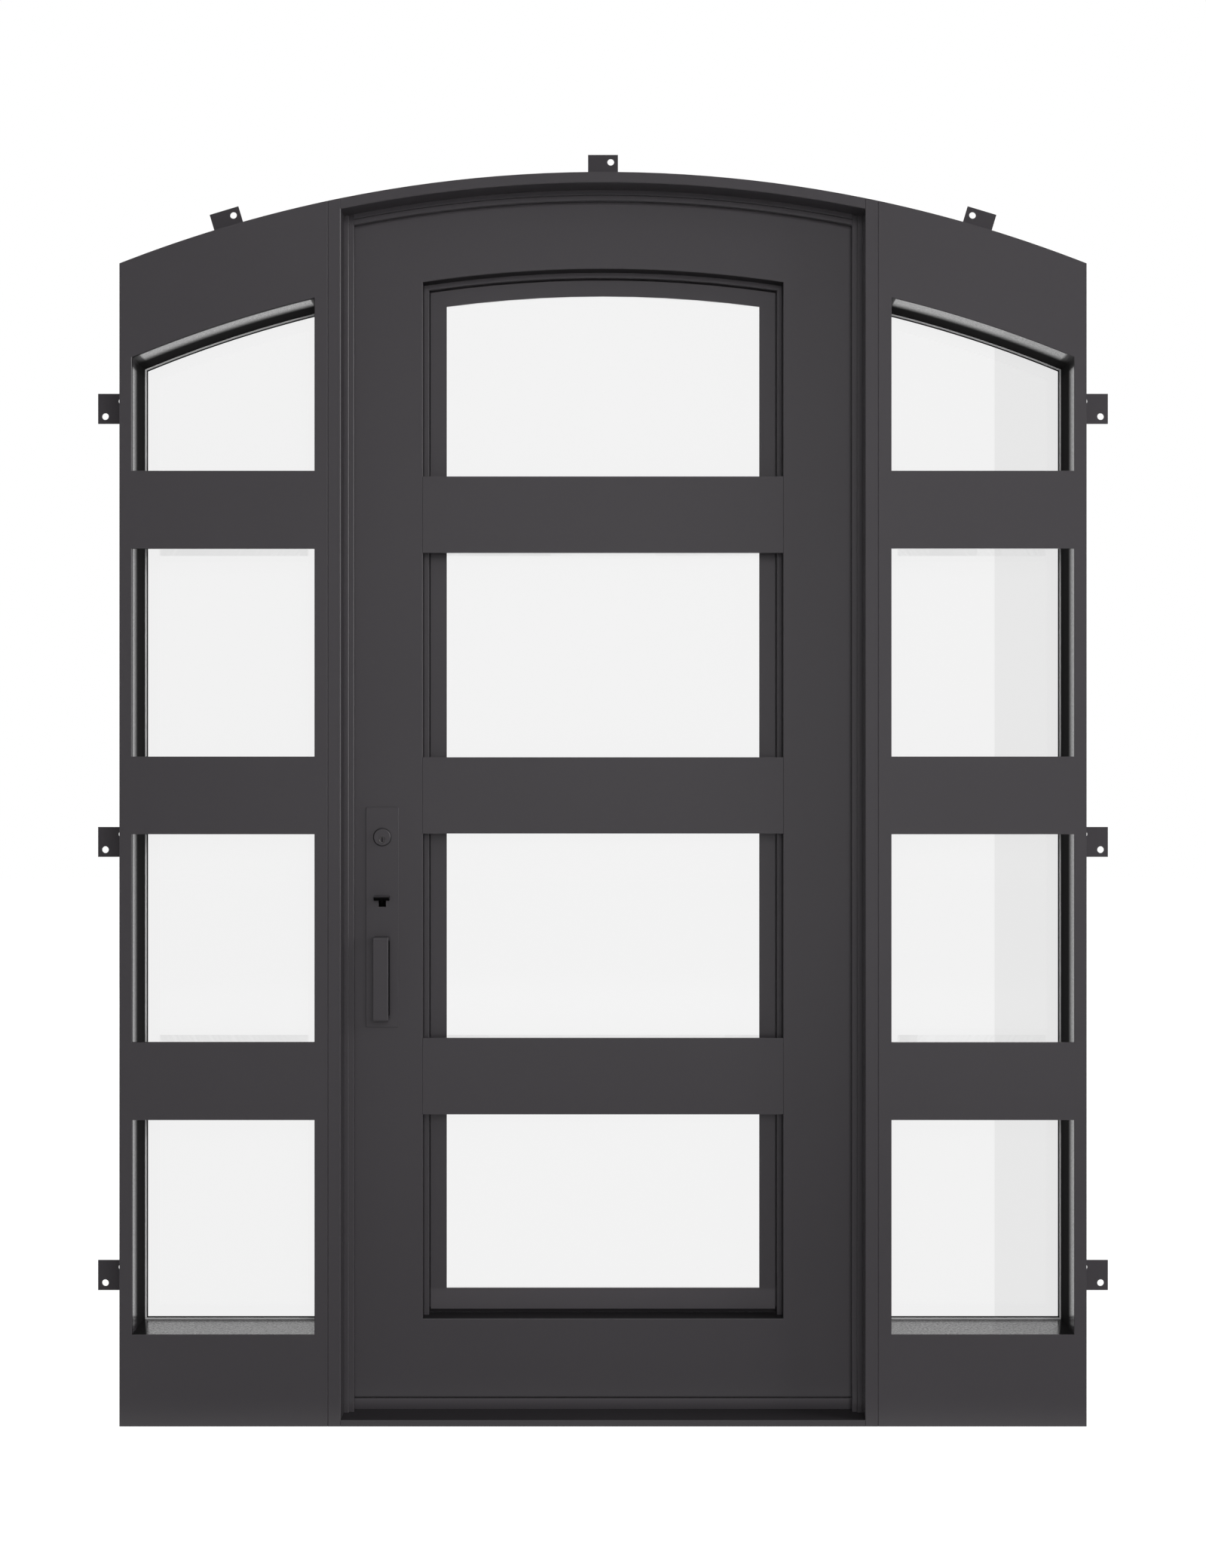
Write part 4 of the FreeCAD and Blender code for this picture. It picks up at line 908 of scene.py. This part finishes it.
class DOORWAY_OT_stage(bpy.types.Operator):
    """Pale floor, white surroundings, soft lamps and the camera"""
    bl_idname = "doorway.stage"
    bl_label = "Studio"

    def execute(self, context):
        own = settings("doorway_studio")
        scene = context.scene
        scene.view_settings.view_transform = "Standard"
        self.floor()
        self.surroundings(own)
        self.lamp("front_lamp", (1.0, -10.0, 2.5), 5.0, own.front)
        self.lamp("key_lamp", (8.0, -2.5, 3.5), 4.0, own.key)
        self.lamp("rear_lamp", (-3.0, 10.0, 3.4), 5.0, own.rear)
        camera = bpy.data.objects.new("camera", bpy.data.cameras.new("camera"))
        scene.collection.objects.link(camera)
        camera.location = own.eye
        camera.rotation_euler = (math.pi / 2, 0, 0)
        camera.data.sensor_fit = "VERTICAL"
        camera.data.sensor_height = 24
        camera.data.lens = own.lens
        camera.data.shift_y = HORIZON_DROP / PICTURE_HEIGHT
        scene.camera = camera
        return {"FINISHED"}

    def floor(self):
        """A wide floor, white to the camera but for a share that takes the shadows.

        In reflections on what stands upright its part before the door is nearly dark.
        """
        reach = 30.0
        corners = [(-reach, -reach, 0), (reach, -reach, 0), (reach, reach, 0), (-reach, reach, 0)]
        mesh = bpy.data.meshes.new("floor")
        mesh.from_pydata(corners, [], [(0, 1, 2, 3)])
        floor = bpy.data.objects.new("floor", mesh)
        bpy.context.scene.collection.objects.link(floor)
        work = finish("floor_pale")
        matt = work.node("ShaderNodeBsdfDiffuse", (), {"Color": (0.85, 0.85, 0.85, 1)})
        rays = work.node("ShaderNodeLightPath").outputs
        seen, mirrored, through = (Number(work, rays[name]) for name in (
            "Is Camera Ray", "Is Glossy Ray", "Is Transmission Ray"))
        _, depth, _ = work.across_depth_height()
        strength = 1.12 * (1 - 0.92 * mirrored * depth.falling(-0.3, 0.1))
        white = work.node("ShaderNodeEmission", (), {"Color": (1, 1, 1, 1), "Strength": strength})
        share = 0.9 * seen.larger(mirrored).larger(through)
        mixed = work.node("ShaderNodeMixShader", (), {
            0: share, 1: matt.outputs[0], 2: white.outputs[0]})
        work.node("ShaderNodeOutputMaterial", (), {"Surface": mixed.outputs[0]})
        mesh.materials.append(work.owner)

    def surroundings(self, own):
        """White to the camera and to glass, dimmer before the door in reflections, else soft."""
        world = bpy.data.worlds.new("studio")
        bpy.context.scene.world = world
        work = Finish(world)
        rays = work.node("ShaderNodeLightPath").outputs
        seen, mirrored, through = (Number(work, rays[name]) for name in (
            "Is Camera Ray", "Is Glossy Ray", "Is Transmission Ray"))
        way = work.node("ShaderNodeTexCoord").outputs["Generated"]
        right, back, _ = (Number(work, part) for part in work.node(
            "ShaderNodeSeparateXYZ", (), {"Vector": way}).outputs)
        reflected = (0.2 + 0.8 * back.rising(-0.85, -0.1) * (1 - 0.6 * right.falling(-0.9, -0.5))
                     + 2.0 * right.rising(0.6, 0.95))
        white = seen.larger(through)
        strength = (white + (1 - white) * mirrored * reflected
                    + (1 - white) * (1 - mirrored) * own.sky)
        sky = work.node("ShaderNodeBackground", (), {"Color": (1, 1, 1, 1), "Strength": strength})
        work.node("ShaderNodeOutputWorld", (), {"Surface": sky.outputs[0]})

    def lamp(self, name, place, size, power):
        """A soft square lamp that looks at the middle of the door and never shows in gloss."""
        light = bpy.data.lights.new(name, "AREA")
        light.size = size
        light.energy = power
        lamp = bpy.data.objects.new(name, light)
        bpy.context.scene.collection.objects.link(lamp)
        lamp.location = place
        middle = Vector((0, 0, 1.2))
        lamp.rotation_euler = (middle - Vector(place)).to_track_quat("-Z", "Y").to_euler()
        lamp.visible_glossy = False


STEPS = (
    ("frame_finish", DOORWAY_OT_frame_finish),
    ("leaf_finish", DOORWAY_OT_leaf_finish),
    ("glass_finish", DOORWAY_OT_glass_finish),
    ("lock_finish", DOORWAY_OT_lock_finish),
    ("glass_gaskets", DOORWAY_OT_glass_gaskets),
    ("door_seals", DOORWAY_OT_door_seals),
    ("key_plug", DOORWAY_OT_key_plug),
    ("screws", DOORWAY_OT_screws),
    ("stage", DOORWAY_OT_stage),
)
GROUPS = (
    ("doorway_paint", DOORWAY_PG_paint),
    ("doorway_glass", DOORWAY_PG_glass),
    ("doorway_seals", DOORWAY_PG_seals),
    ("doorway_studio", DOORWAY_PG_studio),
)


class DOORWAY_PT_panel(bpy.types.Panel):
    """Sizes, colours and steps of the entry door"""
    bl_idname = "DOORWAY_PT_panel"
    bl_label = "Entry door"
    bl_space_type = "VIEW_3D"
    bl_region_type = "UI"
    bl_category = "Entry door"

    def draw(self, context):
        for name, group in GROUPS:
            box = self.layout.box()
            box.label(text=group.__doc__)
            for prop in group.__annotations__:
                box.prop(getattr(context.scene, name), prop)
        for name, step in STEPS:
            self.layout.operator(step.bl_idname)


def register():
    for name, group in GROUPS:
        bpy.utils.register_class(group)
        setattr(bpy.types.Scene, name, bpy.props.PointerProperty(type=group))
    for name, step in STEPS:
        bpy.utils.register_class(step)
    bpy.utils.register_class(DOORWAY_PT_panel)


def unregister():
    bpy.utils.unregister_class(DOORWAY_PT_panel)
    for name, step in reversed(STEPS):
        bpy.utils.unregister_class(step)
    for name, group in reversed(GROUPS):
        delattr(bpy.types.Scene, name)
        bpy.utils.unregister_class(group)


def main():
    register()
    for name, step in STEPS:
        getattr(bpy.ops.doorway, name)()


if __name__ == "__main__":
    main()
